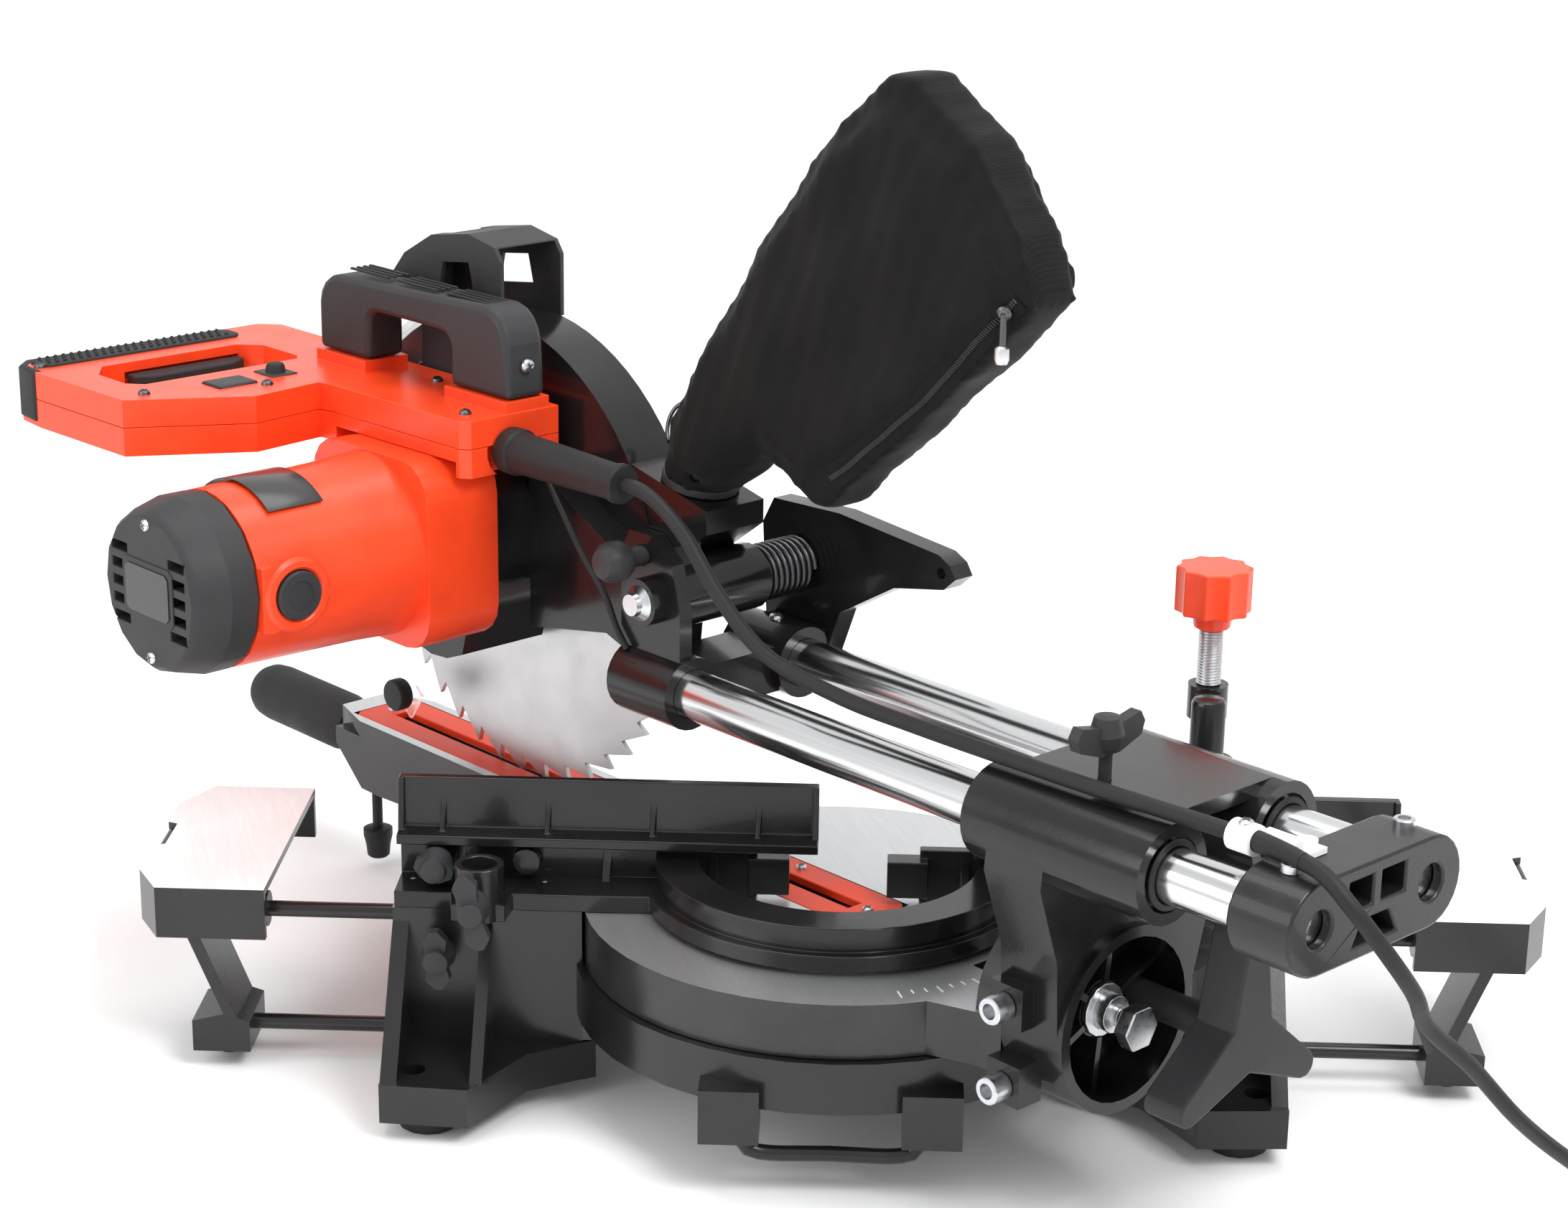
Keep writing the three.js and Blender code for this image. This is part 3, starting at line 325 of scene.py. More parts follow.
def ramp(nodes, links, source, low, high, start=0.3, end=0.7):
    node = nodes.new("ShaderNodeMapRange")
    node.inputs["From Min"].default_value = start
    node.inputs["From Max"].default_value = end
    node.inputs["To Min"].default_value = low
    node.inputs["To Max"].default_value = high
    links.new(source, node.inputs["Value"])
    return node.outputs["Result"]


def blended(nodes, links, source, dark, light, start=0.3, end=0.7):
    node = nodes.new("ShaderNodeValToRGB")
    node.color_ramp.elements[0].position = start
    node.color_ramp.elements[1].position = end
    node.color_ramp.elements[0].color = (*dark, 1)
    node.color_ramp.elements[1].color = (*light, 1)
    links.new(source, node.inputs["Fac"])
    return node.outputs["Color"]


def bump(nodes, links, shader, source, strength, distance):
    node = nodes.new("ShaderNodeBump")
    node.inputs["Strength"].default_value = strength
    node.inputs["Distance"].default_value = distance
    links.new(source, node.inputs["Height"])
    links.new(node.outputs["Normal"], shader.inputs["Normal"])


def tint(colour, factor):
    return tuple(min(c * factor, 1) for c in colour)


def once(build):
    made = {}

    def get():
        if "mat" not in made:
            made["mat"] = build()
        return made["mat"]

    return get


def coated(name, colour, rough, peel=0.12):
    """Gloss coating over a casting: cloudy gloss, orange peel and a little dust."""
    mat, nodes, links, shader = blank(name)
    cloud = grain(nodes, links, 26, 4)
    links.new(blended(nodes, links, cloud.outputs["Fac"], tint(colour, 0.8), tint(colour, 1.5)),
              shader.inputs["Base Color"])
    links.new(ramp(nodes, links, cloud.outputs["Fac"], rough * 0.8, rough * 1.35), shader.inputs["Roughness"])
    skin = grain(nodes, links, 620, 2)
    bump(nodes, links, shader, skin.outputs["Fac"], peel, 0.0003)
    shader.inputs["Coat Weight"].default_value = 0.2
    shader.inputs["Coat Roughness"].default_value = 0.08
    shader.inputs["Specular IOR Level"].default_value = 0.3
    return mat


def moulded(name, colour, rough, pebble=0.25, scale=1500, coat=0.0):
    """Moulded plastic with a fine spark-eroded texture."""
    mat, nodes, links, shader = blank(name)
    cloud = grain(nodes, links, 40, 5)
    links.new(blended(nodes, links, cloud.outputs["Fac"], tint(colour, 0.9), tint(colour, 1.1)),
              shader.inputs["Base Color"])
    links.new(ramp(nodes, links, cloud.outputs["Fac"], rough * 0.88, rough * 1.15), shader.inputs["Roughness"])
    skin = grain(nodes, links, scale, 3)
    bump(nodes, links, shader, skin.outputs["Fac"], pebble, 0.0002)
    shader.inputs["Coat Weight"].default_value = coat
    shader.inputs["Specular IOR Level"].default_value = 0.32
    shader.inputs["Coat Roughness"].default_value = 0.25
    return mat


def metal(name, colour, rough, stretch=None, turn=0.0, scale=700, depth=0.1):
    """Ground or polished metal with fine marks along the cut."""
    mat, nodes, links, shader = blank(name)
    marks = grain(nodes, links, scale, 6, stretch, turn)
    links.new(blended(nodes, links, marks.outputs["Fac"], tint(colour, 0.92), tint(colour, 1.06)),
              shader.inputs["Base Color"])
    links.new(ramp(nodes, links, marks.outputs["Fac"], rough * 0.85, rough * 1.2), shader.inputs["Roughness"])
    bump(nodes, links, shader, marks.outputs["Fac"], depth, 0.0001)
    shader.inputs["Metallic"].default_value = 1.0
    return mat


def machined_top(name, colour, bright, level, rough, metalness=0.85):
    """A coated casting whose faces at level, facing up, are bare machined metal or a white finish."""
    mat, nodes, links, shader = blank(name)
    cloud = grain(nodes, links, 26, 4)
    marks = grain(nodes, links, 500, 5, (1, 14, 1), 0.3)
    geometry = nodes.new("ShaderNodeNewGeometry")
    normal = nodes.new("ShaderNodeSeparateXYZ")
    place = nodes.new("ShaderNodeSeparateXYZ")
    links.new(geometry.outputs["Normal"], normal.inputs["Vector"])
    links.new(geometry.outputs["Position"], place.inputs["Vector"])
    up = ramp(nodes, links, normal.outputs["Z"], 0, 1, 0.90, 0.96)
    high = ramp(nodes, links, place.outputs["Z"], 0, 1, level - 0.0012, level - 0.0006)
    both = nodes.new("ShaderNodeMath")
    both.operation = "MULTIPLY"
    links.new(up, both.inputs[0])
    links.new(high, both.inputs[1])
    dark = blended(nodes, links, cloud.outputs["Fac"], tint(colour, 0.8), tint(colour, 1.4))
    light = blended(nodes, links, marks.outputs["Fac"], tint(bright, 0.95), tint(bright, 1.03))
    mix = nodes.new("ShaderNodeMix")
    mix.data_type = "RGBA"
    links.new(both.outputs[0], mix.inputs["Factor"])
    links.new(dark, mix.inputs["A"])
    links.new(light, mix.inputs["B"])
    links.new(mix.outputs["Result"], shader.inputs["Base Color"])
    links.new(ramp(nodes, links, both.outputs[0], 0.24, rough, 0, 1), shader.inputs["Roughness"])
    links.new(ramp(nodes, links, both.outputs[0], 0.0, metalness, 0, 1), shader.inputs["Metallic"])
    skin = grain(nodes, links, 500, 2)
    bump(nodes, links, shader, skin.outputs["Fac"], 0.1, 0.0003)
    return mat


def cloth():
    """Black woven nylon."""
    mat, nodes, links, shader = blank("bag_nylon")
    coord = nodes.new("ShaderNodeTexCoord")
    mapping = nodes.new("ShaderNodeMapping")
    mapping.inputs["Rotation"].default_value = (0, 0, -MITRE)
    links.new(coord.outputs["Object"], mapping.inputs["Vector"])
    waves = []
    for direction in ("Y", "Z"):
        wave = nodes.new("ShaderNodeTexWave")
        wave.bands_direction = direction
        wave.inputs["Scale"].default_value = 330
        wave.inputs["Distortion"].default_value = 0.6
        links.new(mapping.outputs["Vector"], wave.inputs["Vector"])
        waves.append(wave)
    weave = nodes.new("ShaderNodeMath")
    weave.operation = "MAXIMUM"
    links.new(waves[0].outputs["Fac"], weave.inputs[0])
    links.new(waves[1].outputs["Fac"], weave.inputs[1])
    links.new(blended(nodes, links, weave.outputs[0], (0.002, 0.002, 0.0022), (0.0065, 0.0065, 0.007), 0.2, 1.0),
              shader.inputs["Base Color"])
    cloud = grain(nodes, links, 30, 4)
    links.new(ramp(nodes, links, cloud.outputs["Fac"], 0.55, 0.75), shader.inputs["Roughness"])
    bump(nodes, links, shader, weave.outputs[0], 0.22, 0.0002)
    shader.inputs["Specular IOR Level"].default_value = 0.12
    shader.inputs["Sheen Weight"].default_value = 0.04
    shader.inputs["Sheen Roughness"].default_value = 0.5
    return mat


def polycarbonate():
    mat, nodes, links, shader = blank("clear_polycarbonate")
    shader.inputs["Base Color"].default_value = (0.93, 0.95, 0.96, 1)
    shader.inputs["Transmission Weight"].default_value = 0.85
    shader.inputs["IOR"].default_value = 1.12
    shader.inputs["Alpha"].default_value = 0.45
    scratches = grain(nodes, links, 90, 6, (1, 6, 1), 0.4)
    links.new(ramp(nodes, links, scratches.outputs["Fac"], 0.05, 0.16), shader.inputs["Roughness"])
    return mat


def brushed_disc():
    """Blade steel, ground in rings about the arbor."""
    mat, nodes, links, shader = blank("blade_steel")
    coord = nodes.new("ShaderNodeTexCoord")
    mapping = nodes.new("ShaderNodeMapping")
    mapping.vector_type = "TEXTURE"
    mapping.inputs["Location"].default_value = ARBOR
    mapping.inputs["Rotation"].default_value = (0, 0, MITRE)
    links.new(coord.outputs["Object"], mapping.inputs["Vector"])
    wave = nodes.new("ShaderNodeTexWave")
    wave.wave_type = "RINGS"
    wave.rings_direction = "X"
    wave.inputs["Scale"].default_value = 260
    wave.inputs["Distortion"].default_value = 0.5
    wave.inputs["Detail"].default_value = 3
    links.new(mapping.outputs["Vector"], wave.inputs["Vector"])
    links.new(blended(nodes, links, wave.outputs["Fac"], (0.5, 0.5, 0.51), (0.58, 0.58, 0.59), 0, 1),
              shader.inputs["Base Color"])
    cloud = grain(nodes, links, 60, 5)
    links.new(ramp(nodes, links, cloud.outputs["Fac"], 0.3, 0.42), shader.inputs["Roughness"])
    bump(nodes, links, shader, wave.outputs["Fac"], 0.03, 0.0001)
    shader.inputs["Metallic"].default_value = 1.0
    return mat


ARBOR = tab(0, -244.4, 223)
TABLE_LEVEL = 99.2 * MM

FINISH = {
    "gloss": once(lambda: coated("gloss_black", tuple(colours().black), 0.2)),
    "satin": once(lambda: coated("satin_black", tint(tuple(colours().black), 1.5), 0.34, 0.3)),
    "orange": once(lambda: moulded("orange_housing", tuple(colours().orange), 0.36, 0.08, 1100, 0.25)),
    "insert": once(lambda: moulded("orange_insert", tint(tuple(colours().orange), 0.8), 0.42, 0.15, 900)),
    "grip": once(lambda: moulded("dark_grip", tuple(colours().grip), 0.5, 0.35)),
    "soft": once(lambda: moulded("soft_grip", tint(tuple(colours().grip), 0.6), 0.62, 0.5, 1800)),
    # Rubber for feet, leads and roller; it also gives the painted shade of the carry handle's grooves.
    "rubber": once(lambda: moulded("rubber", (0.012, 0.012, 0.0125), 0.55, 0.25, 1200)),
    "chrome": once(lambda: metal("rail_chrome", (0.7, 0.71, 0.72), 0.17, (1, 90, 1), MITRE, 420, 0.01)),
    "steel": once(lambda: metal("zinc_steel", (0.62, 0.63, 0.65), 0.3, None, 0.0, 300, 0.006)),
    # Dark steel for springs, pulls and black screws; it is also the painted shade drawn in the screw heads' recesses.
    "dark_steel_and_slot_shade": once(lambda: metal("dark_steel_and_slot_shade", (0.12, 0.12, 0.125), 0.35)),
    "blade": once(brushed_disc),
    "carbide": once(lambda: metal("carbide", (0.42, 0.42, 0.43), 0.36)),
    "table": once(lambda: machined_top("turntable_finish", (0.018, 0.018, 0.019), MACHINED, TABLE_LEVEL, 0.34)),
    "base": once(lambda: machined_top("base_finish", tuple(colours().black), MACHINED, TABLE_LEVEL, 0.34)),
    "wing": once(lambda: machined_top("wing_finish", tuple(colours().black), (0.84, 0.84, 0.84), TABLE_LEVEL, 0.5, 0.05)),
    "clear": once(polycarbonate),
    "cloth": once(cloth),
    "nylon": once(lambda: moulded("white_nylon", (0.86, 0.86, 0.84), 0.35, 0.1)),
    "white": once(lambda: moulded("white_mark", (0.75, 0.75, 0.73), 0.5, 0.05)),
    "label": once(lambda: moulded("label_film", (0.03, 0.028, 0.028), 0.25, 0.05, 400, 0.4)),
}

# node: (slot, finish, edge rounding in millimetres)
CASTINGS = {
    "base_casting": ("black_paint", "base", 1.4),
    "fence_casting": ("black_paint", "gloss", 0.9),
    "fence_slide_right": ("black_paint", "gloss", 0.6),
    "fence_slide_left": ("black_paint", "gloss", 0.6),
    "wing_right": ("black_paint", "wing", 1.2),
    "wing_left": ("black_paint", "wing", 1.2),
    "wing_stop_right": ("black_paint", "gloss", 0.4),
    "wing_stop_left": ("black_paint", "gloss", 0.4),
    "turntable": ("grey_paint", "table", 1.0),
    "kerf_insert": ("orange_plastic", "insert", 0.5),
    "bevel_arm": ("black_paint", "gloss", 1.4),
    "front_bracket": ("black_paint", "gloss", 1.4),
    "rear_bracket": ("black_paint", "satin", 1.4),
    "head_casting": ("black_paint", "gloss", 1.4),
    "handle_upper": ("orange_plastic", "orange", 2.6),
    "handle_lower": ("orange_plastic", "orange", 2.6),
    "carry_handle": ("black_plastic", "grip", 3.2),
    "guard_cover": ("grey_paint", "grip", 1.1),
    "lower_guard": ("clear", "clear", 0.5),
    "star_handle": ("black_plastic", "grip", 2.0),
    "rail_knob": ("black_plastic", "grip", 1.2),
    "clamp_arm": ("black_paint", "gloss", 1.2),
    "trigger": ("black_plastic", "soft", 1.2),
    "rocker_switch": ("black_plastic", "grip", 0.8),
    "cable_clip": ("nylon", "nylon", 0.5),
    "dust_port": ("black_plastic", "grip", 0.5),
    "fence_knob_right": ("black_plastic", "grip", 0.7),
    "fence_knob_left": ("black_plastic", "grip", 0.7),
    "socket_knob_right": ("black_plastic", "grip", 0.9),
    "socket_knob_left": ("black_plastic", "grip", 0.9),
    "wing_knob_right": ("black_plastic", "grip", 0.9),
    "wing_knob_left": ("black_plastic", "grip", 0.9),
    "bevel_bolt": ("steel", "steel", 0.4),
    "mitre_pivot_bolt": ("steel", "steel", 0.4),
}

# node: (slot, finish, rings, place, start, direction) for pieces that are plain solids of revolution
ROUND = {
    "rail_near": ("steel", "chrome", rounded(12.5, 418.6), tab, (38, -106.6, 197), (0, 1, 0)),
    "rail_far": ("steel", "chrome", rounded(12.5, 418.6), tab, (-38, -106.6, 197), (0, 1, 0)),
    "mitre_grip": ("black_plastic", "soft",
                   [(0, 0), (11, 0), (14, 1.5), (15.5, 5), (17, 14), (17, 80), (16.2, 88), (14, 93), (9, 95.6), (0, 96)],
                   tab, (0, -404, 79), (0, -1, 0)),
    "lock_pin": ("black_plastic", "grip", [(5, -16.7), (5, 0), (8, 1.5), (10, 5), (10.5, 9), (9.6, 13.6), (7, 17), (4, 18), (0, 18)],
                 tab, (54.3, -96, 263), (1, 0, 0)),
    "pivot_shaft": ("steel", "steel",
        [(5.4, 0), (6, 0.6), (6, 5.6), (9, 5.7), (9, 126), (6, 129), (5.4, 131.8)],
        tab, (-72, -88, 242), (1, 0, 0)),
    "arbor": ("steel", "steel",
        [(8, 0), (20, 0.1), (20, 4.2), (8, 4.3), (8, 59)],
        tab, (1.9, -244.4, 223), (1, 0, 0)),
    "lock_off_button": ("black_plastic", "soft",
        [(8, 0), (8, 7), (5.4, 7.6), (5, 11), (4.2, 12.6), (2.6, 13), (0, 13)],
        tab, (98, -331, 312.6), (0, 0, 1)),
    "guard_roller": ("rubber", "rubber",
        [(3.6, 0), (4, 1), (8.2, 1.2), (9, 2.6), (9, 8.2), (8.2, 9.4), (5, 9.6), (0, 9.6)],
        tab, (22.9, -325.4, 126.5), (1, 0, 0)),
    "arm_foot": ("rubber", "rubber",
        [(5.2, 0), (6.5, 1.2), (7.2, 8), (8.5, 13.5), (8.5, 17.4), (6.4, 18.4), (3, 18.5), (3, 58)],
        tab, (5, -381, 6.5), (0, 0, 1)),
    "clamp_post": ("black_paint", "gloss",
        [(7.6, 0), (8.2, 0.8), (8.2, 113.6), (7.4, 115.4), (6.2, 116), (0, 116)],
        saw, (-173, 34, 104), (0, 0, 1)),
    "cable_boot": ("rubber", "rubber",
                   [(11.9, 0.4), (12, 8), (10.6, 9), (10, 40), (9, 81), (9, 83), (10, 83.6), (10, 87), (9, 88)],
                   tab, (60, -180, 302), (0, 1, 0)),
}


def refined(node, finish, edge):
    """A finer copy of a casting: flat faces joined, edges rounded, round faces smooth."""
    source = bpy.data.objects[node]
    bm = bmesh.new()
    bm.from_mesh(source.data)
    bmesh.ops.remove_doubles(bm, verts=bm.verts, dist=0.00002)
    bmesh.ops.dissolve_limit(bm, angle_limit=math.radians(1.0), verts=bm.verts, edges=bm.edges)
    bmesh.ops.recalc_face_normals(bm, faces=bm.faces)
    obj = mesh_object(node + "_fine", bm)
    smooth(obj, 34)
    bevelled(obj, edge * MM * sizes().edge / USUAL_EDGE, 2, 34)
    mod = obj.modifiers.new("normals", "WEIGHTED_NORMAL")
    mod.keep_sharp = True
    dress(obj, body_of_node(node), finish)
    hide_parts(node)
    return obj


def body_of_node(node):
    for name, empty in frame["bodies"].items():
        if frame["nodes"][node].parent == empty:
            return name
    raise RuntimeError(node + " is in no body")


# ---- fasteners ----
def cap_screw(name, place, at, along, r, body, h=None):
    h = h or 1.9 * r * 0.85
    rings = [(r - 0.3, 0), (r, 0.4), (r, h - 0.5), (r - 0.5, h), (r * 0.58, h), (r * 0.55, h - 0.6 * h), (0, h - 0.62 * h)]
    obj = turned(name, rings, place(*at), way(place, *along), 32)
    return dress(obj, body, "steel")


def pan_screw(name, place, at, along, r, body, finish="steel"):
    rings = [(r, 0), (r, 0.8), (r * 0.86, 1.9), (r * 0.55, 2.6), (0.0, 2.8)]
    obj = dress(turned(name, rings, place(*at), way(place, *along), 28), body, finish)
    # Painted shade: two dark steel bars crossed on the head stand in for the shadow inside the screw's cross recess.
    for k in range(2):
        bm = bmesh.new()
        bmesh.ops.create_cube(bm, size=1)
        size = (r * 1.1, r * 0.22, 1.2)
        move = aimed(place(*at), way(place, *along)) @ Matrix.Rotation(k * math.pi / 2 + 0.5, 4, "Z")
        move = move @ Matrix.Translation((0, 0, 2.35 * MM)) @ Matrix.Diagonal((*(s * MM for s in size), 1))
        bm.transform(move)
        dress(mesh_object(f"{name}_slot{k}", bm), body, "dark_steel_and_slot_shade")
    return obj


def hex_nut(name, place, at, along, across, height, body, turn=0.0):
    r = across / math.sqrt(3)
    bm = bmesh.new()
    outline = [(r * math.cos(turn + i * math.pi / 3), r * math.sin(turn + i * math.pi / 3)) for i in range(6)]
    move = aimed(place(*at), way(place, *along))
    low = [bm.verts.new(move @ Vector((a * MM, b * MM, 0))) for a, b in outline]
    high = [bm.verts.new(move @ Vector((a * MM, b * MM, height * MM))) for a, b in outline]
    bm.faces.new(low)
    bm.faces.new(high)
    for i in range(6):
        bm.faces.new((low[i], low[(i + 1) % 6], high[(i + 1) % 6], high[i]))
    bmesh.ops.recalc_face_normals(bm, faces=bm.faces)
    obj = mesh_object(name, bm)
    bevelled(obj, 0.7 * MM, 2, 30)
    return dress(obj, body, "steel")


def threaded(name, place, at, along, r, length, body, pitch=1.5):
    rings = []
    for i in range(int(length / pitch)):
        rings += [(r * 0.86, i * pitch), (r, (i + 0.5) * pitch)]
    return dress(turned(name, rings, place(*at), way(place, *along), 24), body, "steel")


# ---- the leads ----
CLIP = (36, 276, 224.4)
COIL = (-465.9, 165.3)
FREE_RUN = [
    (-169.7, 220.6, 224.4), (-179.3, 230.9, 224.4), (-188.8, 244, 224.4), (-197.4, 256, 222.8), (-208.5, 265, 212),
    (-224, 264, 192), (-238, 252, 170), (-249, 228, 145), (-274, 203, 115), (-301, 181, 80), (-332, 152, 46),
    (-362, 128, 19), (-400, 111, 5.3), (-440, 104, 4.1), (-470, 106, 4.1)]
HELD_RUN = [
    (60, -98, 302), (60, -76, 301), (60, -50, 288), (58, -26, 262), (56, 4, 240), (50, 48, 229), (46, 96, 226),
    (44, 150, 225.4), (42, 205, 225.2), (38, 250, 224.8), (36, 269, 224.4), (36, 275.7, 224.4)]
# Turns clockwise from the first touch of the coil: (start, end, change of radius, change of height), degrees and mm.
WINDING = [
    (0, 60, -8.2, 0), (360, 420, -8.2, 0), (720, 780, -8.2, 0), (1015, 1075, 0, 7.8),
    (1305, 1365, 8.2, 0), (1665, 1725, 8.2, 0), (1960, 2020, 0, 7.8),
    (2255, 2315, -8.2, 0), (2615, 2675, -8.2, 0), (2910, 2970, 0, 7.8),
    (3205, 3265, 8.2, 0), (3565, 3625, 8.2, 0), (3632, 3748, 0, 22.1), (3684, 3748, -12.7, 0)]


def ease(t):
    t = min(max(t, 0), 1)
    return t * t * (3 - 2 * t)


def coil_points():
    first = (FREE_RUN[-1][0] - COIL[0], FREE_RUN[-1][1] - COIL[1])
    start = math.atan2(first[1], first[0])
    points = []
    for step in range(8, 3749, 10):
        r = math.hypot(*first) + sum(dr * ease((step - a) / (b - a)) for a, b, dr, _ in WINDING)
        z = FREE_RUN[-1][2] + sum(dz * ease((step - a) / (b - a)) for a, b, _, dz in WINDING)
        turn = start - math.radians(step)
        points.append(saw(COIL[0] + r * math.cos(turn), COIL[1] + r * math.sin(turn), z))
    return points


def tube(name, path, radius, sides=14):
    """A closed mesh tube along path, in metres."""
    bm = bmesh.new()
    loops = []
    up = Vector((0.13, 0.2, 1))
    for i, p in enumerate(path):
        along = (path[min(i + 1, len(path) - 1)] - path[max(i - 1, 0)]).normalized()
        side = along.cross(up).normalized()
        up = side.cross(along).normalized()
        r = radius(i / (len(path) - 1)) if callable(radius) else radius
        loops.append([bm.verts.new(p + (side * math.cos(a) + up * math.sin(a)) * r)
                      for a in (2 * math.pi * k / sides for k in range(sides))])
    for low, high in zip(loops, loops[1:]):
        for i in range(sides):
            bm.faces.new((low[i], low[(i + 1) % sides], high[(i + 1) % sides], high[i]))
    bm.faces.new(loops[0])
    bm.faces.new(loops[-1])
    bmesh.ops.recalc_face_normals(bm, faces=bm.faces)
    obj = mesh_object(name, bm)
    smooth(obj, 50)
    return obj


class SAW_OT_mains_lead(bpy.types.Operator):
    """Makes the mains lead from the clip to its coil and plug"""
    bl_idname = "saw.mains_lead"
    bl_label = "Mains lead"

    def execute(self, context):
        points = smooth_path([saw(*p) for p in FREE_RUN], 5) + coil_points()
        lead = dress(bar_curve("mains_lead", points, sizes().lead / 2), "base", "rubber")
        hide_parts("power_cord", "cord_coil")
        relief = tube("lead_relief", points[:12], lambda t: (4.9 - 1.0 * t) * MM)
        dress(relief, "base", "rubber")
        plug = refined("mains_plug", "grip", 1.2)
        return {"FINISHED"}


class SAW_OT_held_lead(bpy.types.Operator):
    """Makes the lead that runs from the head to the rear bracket, and the thin lead inside it"""
    bl_idname = "saw.held_lead"
    bl_label = "Held lead"

    def execute(self, context):
        path = smooth_path([tab(*p) for p in HELD_RUN], 7)
        lead = tube("held_lead_fine", path, sizes().lead / 2)
        lead.data.materials.append(FINISH["rubber"]())
        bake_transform(lead)
        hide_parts("held_lead")
        thin = smooth_path([tab(*p) for p in (
            (40, -178, 286), (44, -160, 272), (46, -140, 252), (47, -122, 236), (48, -112, 222), (48, -104, 213))], 6)
        wire = tube("inner_lead", thin, 1.7 * MM, 10)
        wire.data.materials.append(FINISH["rubber"]())
        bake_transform(wire)
        return {"FINISHED"}


# ---- the castings and turned parts ----
class SAW_OT_castings(bpy.types.Operator):
    """Rounds the edges of every casting and moulding and gives each its finish"""
    bl_idname = "saw.castings"
    bl_label = "Castings"

    def execute(self, context):
        for node, (slot, finish, edge) in CASTINGS.items():
            refined(node, finish, edge)
        return {"FINISHED"}


class SAW_OT_turned_parts(bpy.types.Operator):
    """Makes the rails, pins, knobs and feet that are solids of revolution"""
    bl_idname = "saw.turned_parts"
    bl_label = "Turned parts"

    def execute(self, context):
        for node, (slot, finish, rings, place, at, along) in ROUND.items():
            piece = turned(node + "_fine", rings, place(*at), way(place, *along))
            dress(piece, body_of_node(node), finish)
            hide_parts(node)
        for node, finish in (("wire_stirrup", "gloss"), *(("rubber_foot_" + c, "rubber") for c in (
                "rear_right", "rear_left", "front_right", "front_left"))):
            refined(node, finish, 1.0)
        for side in (-38, 38):
            for name, y, along in (("front", 138, -1), ("rear", 240, 1)):
                ring = [(12.9, 0), (15.6, 0), (16, 0.8), (15.6, 1.6), (13.4, 1.8), (12.9, 1.2)]
                obj = turned(f"bush_{name}_{'near' if side > 0 else 'far'}", ring + ring[:1],
                             tab(side, y + along * 0.05, 197), way(tab, 0, along, 0))
                dress(obj, "bevel", "rubber")
        return {"FINISHED"}


# ---- the blade and motor ----
class SAW_OT_blade(bpy.types.Operator):
    """Makes the ground blade, its tips in the same blade steel, and the flange that holds it"""
    bl_idname = "saw.blade"
    bl_label = "Blade"

    def execute(self, context):
        refined("saw_blade", "blade", 0.2)
        collar = turned("blade_washer", [(8, 0), (24, 0), (24.6, 0.8), (24.6, 3.0), (23, 4), (13, 4.4), (13, 7), (8, 7.6)],
                        tab(-1.7, -244.4, 223), way(tab, -1, 0, 0))
        dress(collar, "blade", "steel")
        hex_nut("blade_bolt", tab, (-9.4, -244.4, 223), (-1, 0, 0), 13, 5.5, "blade")
        return {"FINISHED"}


class SAW_OT_motor(bpy.types.Operator):
    """Makes the motor housing with its cooling ribs, brush cap, blank label and vented cap"""
    bl_idname = "saw.motor"
    bl_label = "Motor"

    def execute(self, context):
        refined("motor_body", "orange", 1.4)
        refined("motor_end_cap", "grip", 1.0)
        y, z = -238, 249
        ring = [(12.8, -3), (17.4, -3), (18.8, -1), (18.8, 0.6), (17, 2.2), (14.2, 2.4), (12.8, 1.2)]
        boss = turned("brush_boss", ring + ring[:1], tab(183, y + 46.6, z - 1), way(tab, 0, 1, 0), 48)
        dress(boss, "head", "orange")
        bm = bmesh.new()
        skin = []
        for x in (154, 186):
            skin.append([bm.verts.new(tab(x, y + 47.4 * math.cos(a), z + 47.4 * math.sin(a)))
                         for a in (math.radians(52 + 4.4 * k) for k in range(18))])
        for k in range(17):
            bm.faces.new((skin[0][k], skin[0][k + 1], skin[1][k + 1], skin[1][k]))
        label = mesh_object("motor_label", bm)
        label.modifiers.new("film", "SOLIDIFY").thickness = 0.5 * MM
        bevelled(label, 0.2 * MM)
        smooth(label)
        dress(label, "head", "label")
        cap = turned("brush_cap", [(9, -2), (12.4, -2), (12.4, 0.8), (11.6, 1.8), (7.5, 2.0), (7.2, 1.2), (0, 1.2)],
                     tab(183, y + 48.4, z - 1), way(tab, 0, 1, 0), 40)
        dress(cap, "head", "grip")
        panel = [(y - 19, z - 15), (y + 19, z - 15), (y + 22, z - 12), (y + 22, z + 12), (y + 19, z + 15),
                 (y - 19, z + 15), (y - 22, z + 12), (y - 22, z - 12)]
        frame_bar = prism("cap_frame", panel, tab, 236.4, 237.6, "x", 0.4, 2)
        dress(frame_bar, "head", "grip")
        plate = prism("cap_badge", [(y + (a - y) * 0.86, z + (b - z) * 0.8) for a, b in panel], tab,
                      237.7, 238.2, "x", 0.2, 2)
        dress(plate, "head", "label")
        for i, (dy, dz) in enumerate(((0, 36), (0, -36))):
            pan_screw(f"cap_screw_{i}", tab, (236.0, y + dy * 0.9, z + dz * 0.93), (1, 0, 0), 3.2, "head")
        for i, dz in enumerate((-33, 33)):
            pan_screw(f"flange_screw_{i}", tab, (106.0 - 44.0 + 0.0, y + 34, z + dz), (1, 0, 0), 4.2, "head")
        return {"FINISHED"}


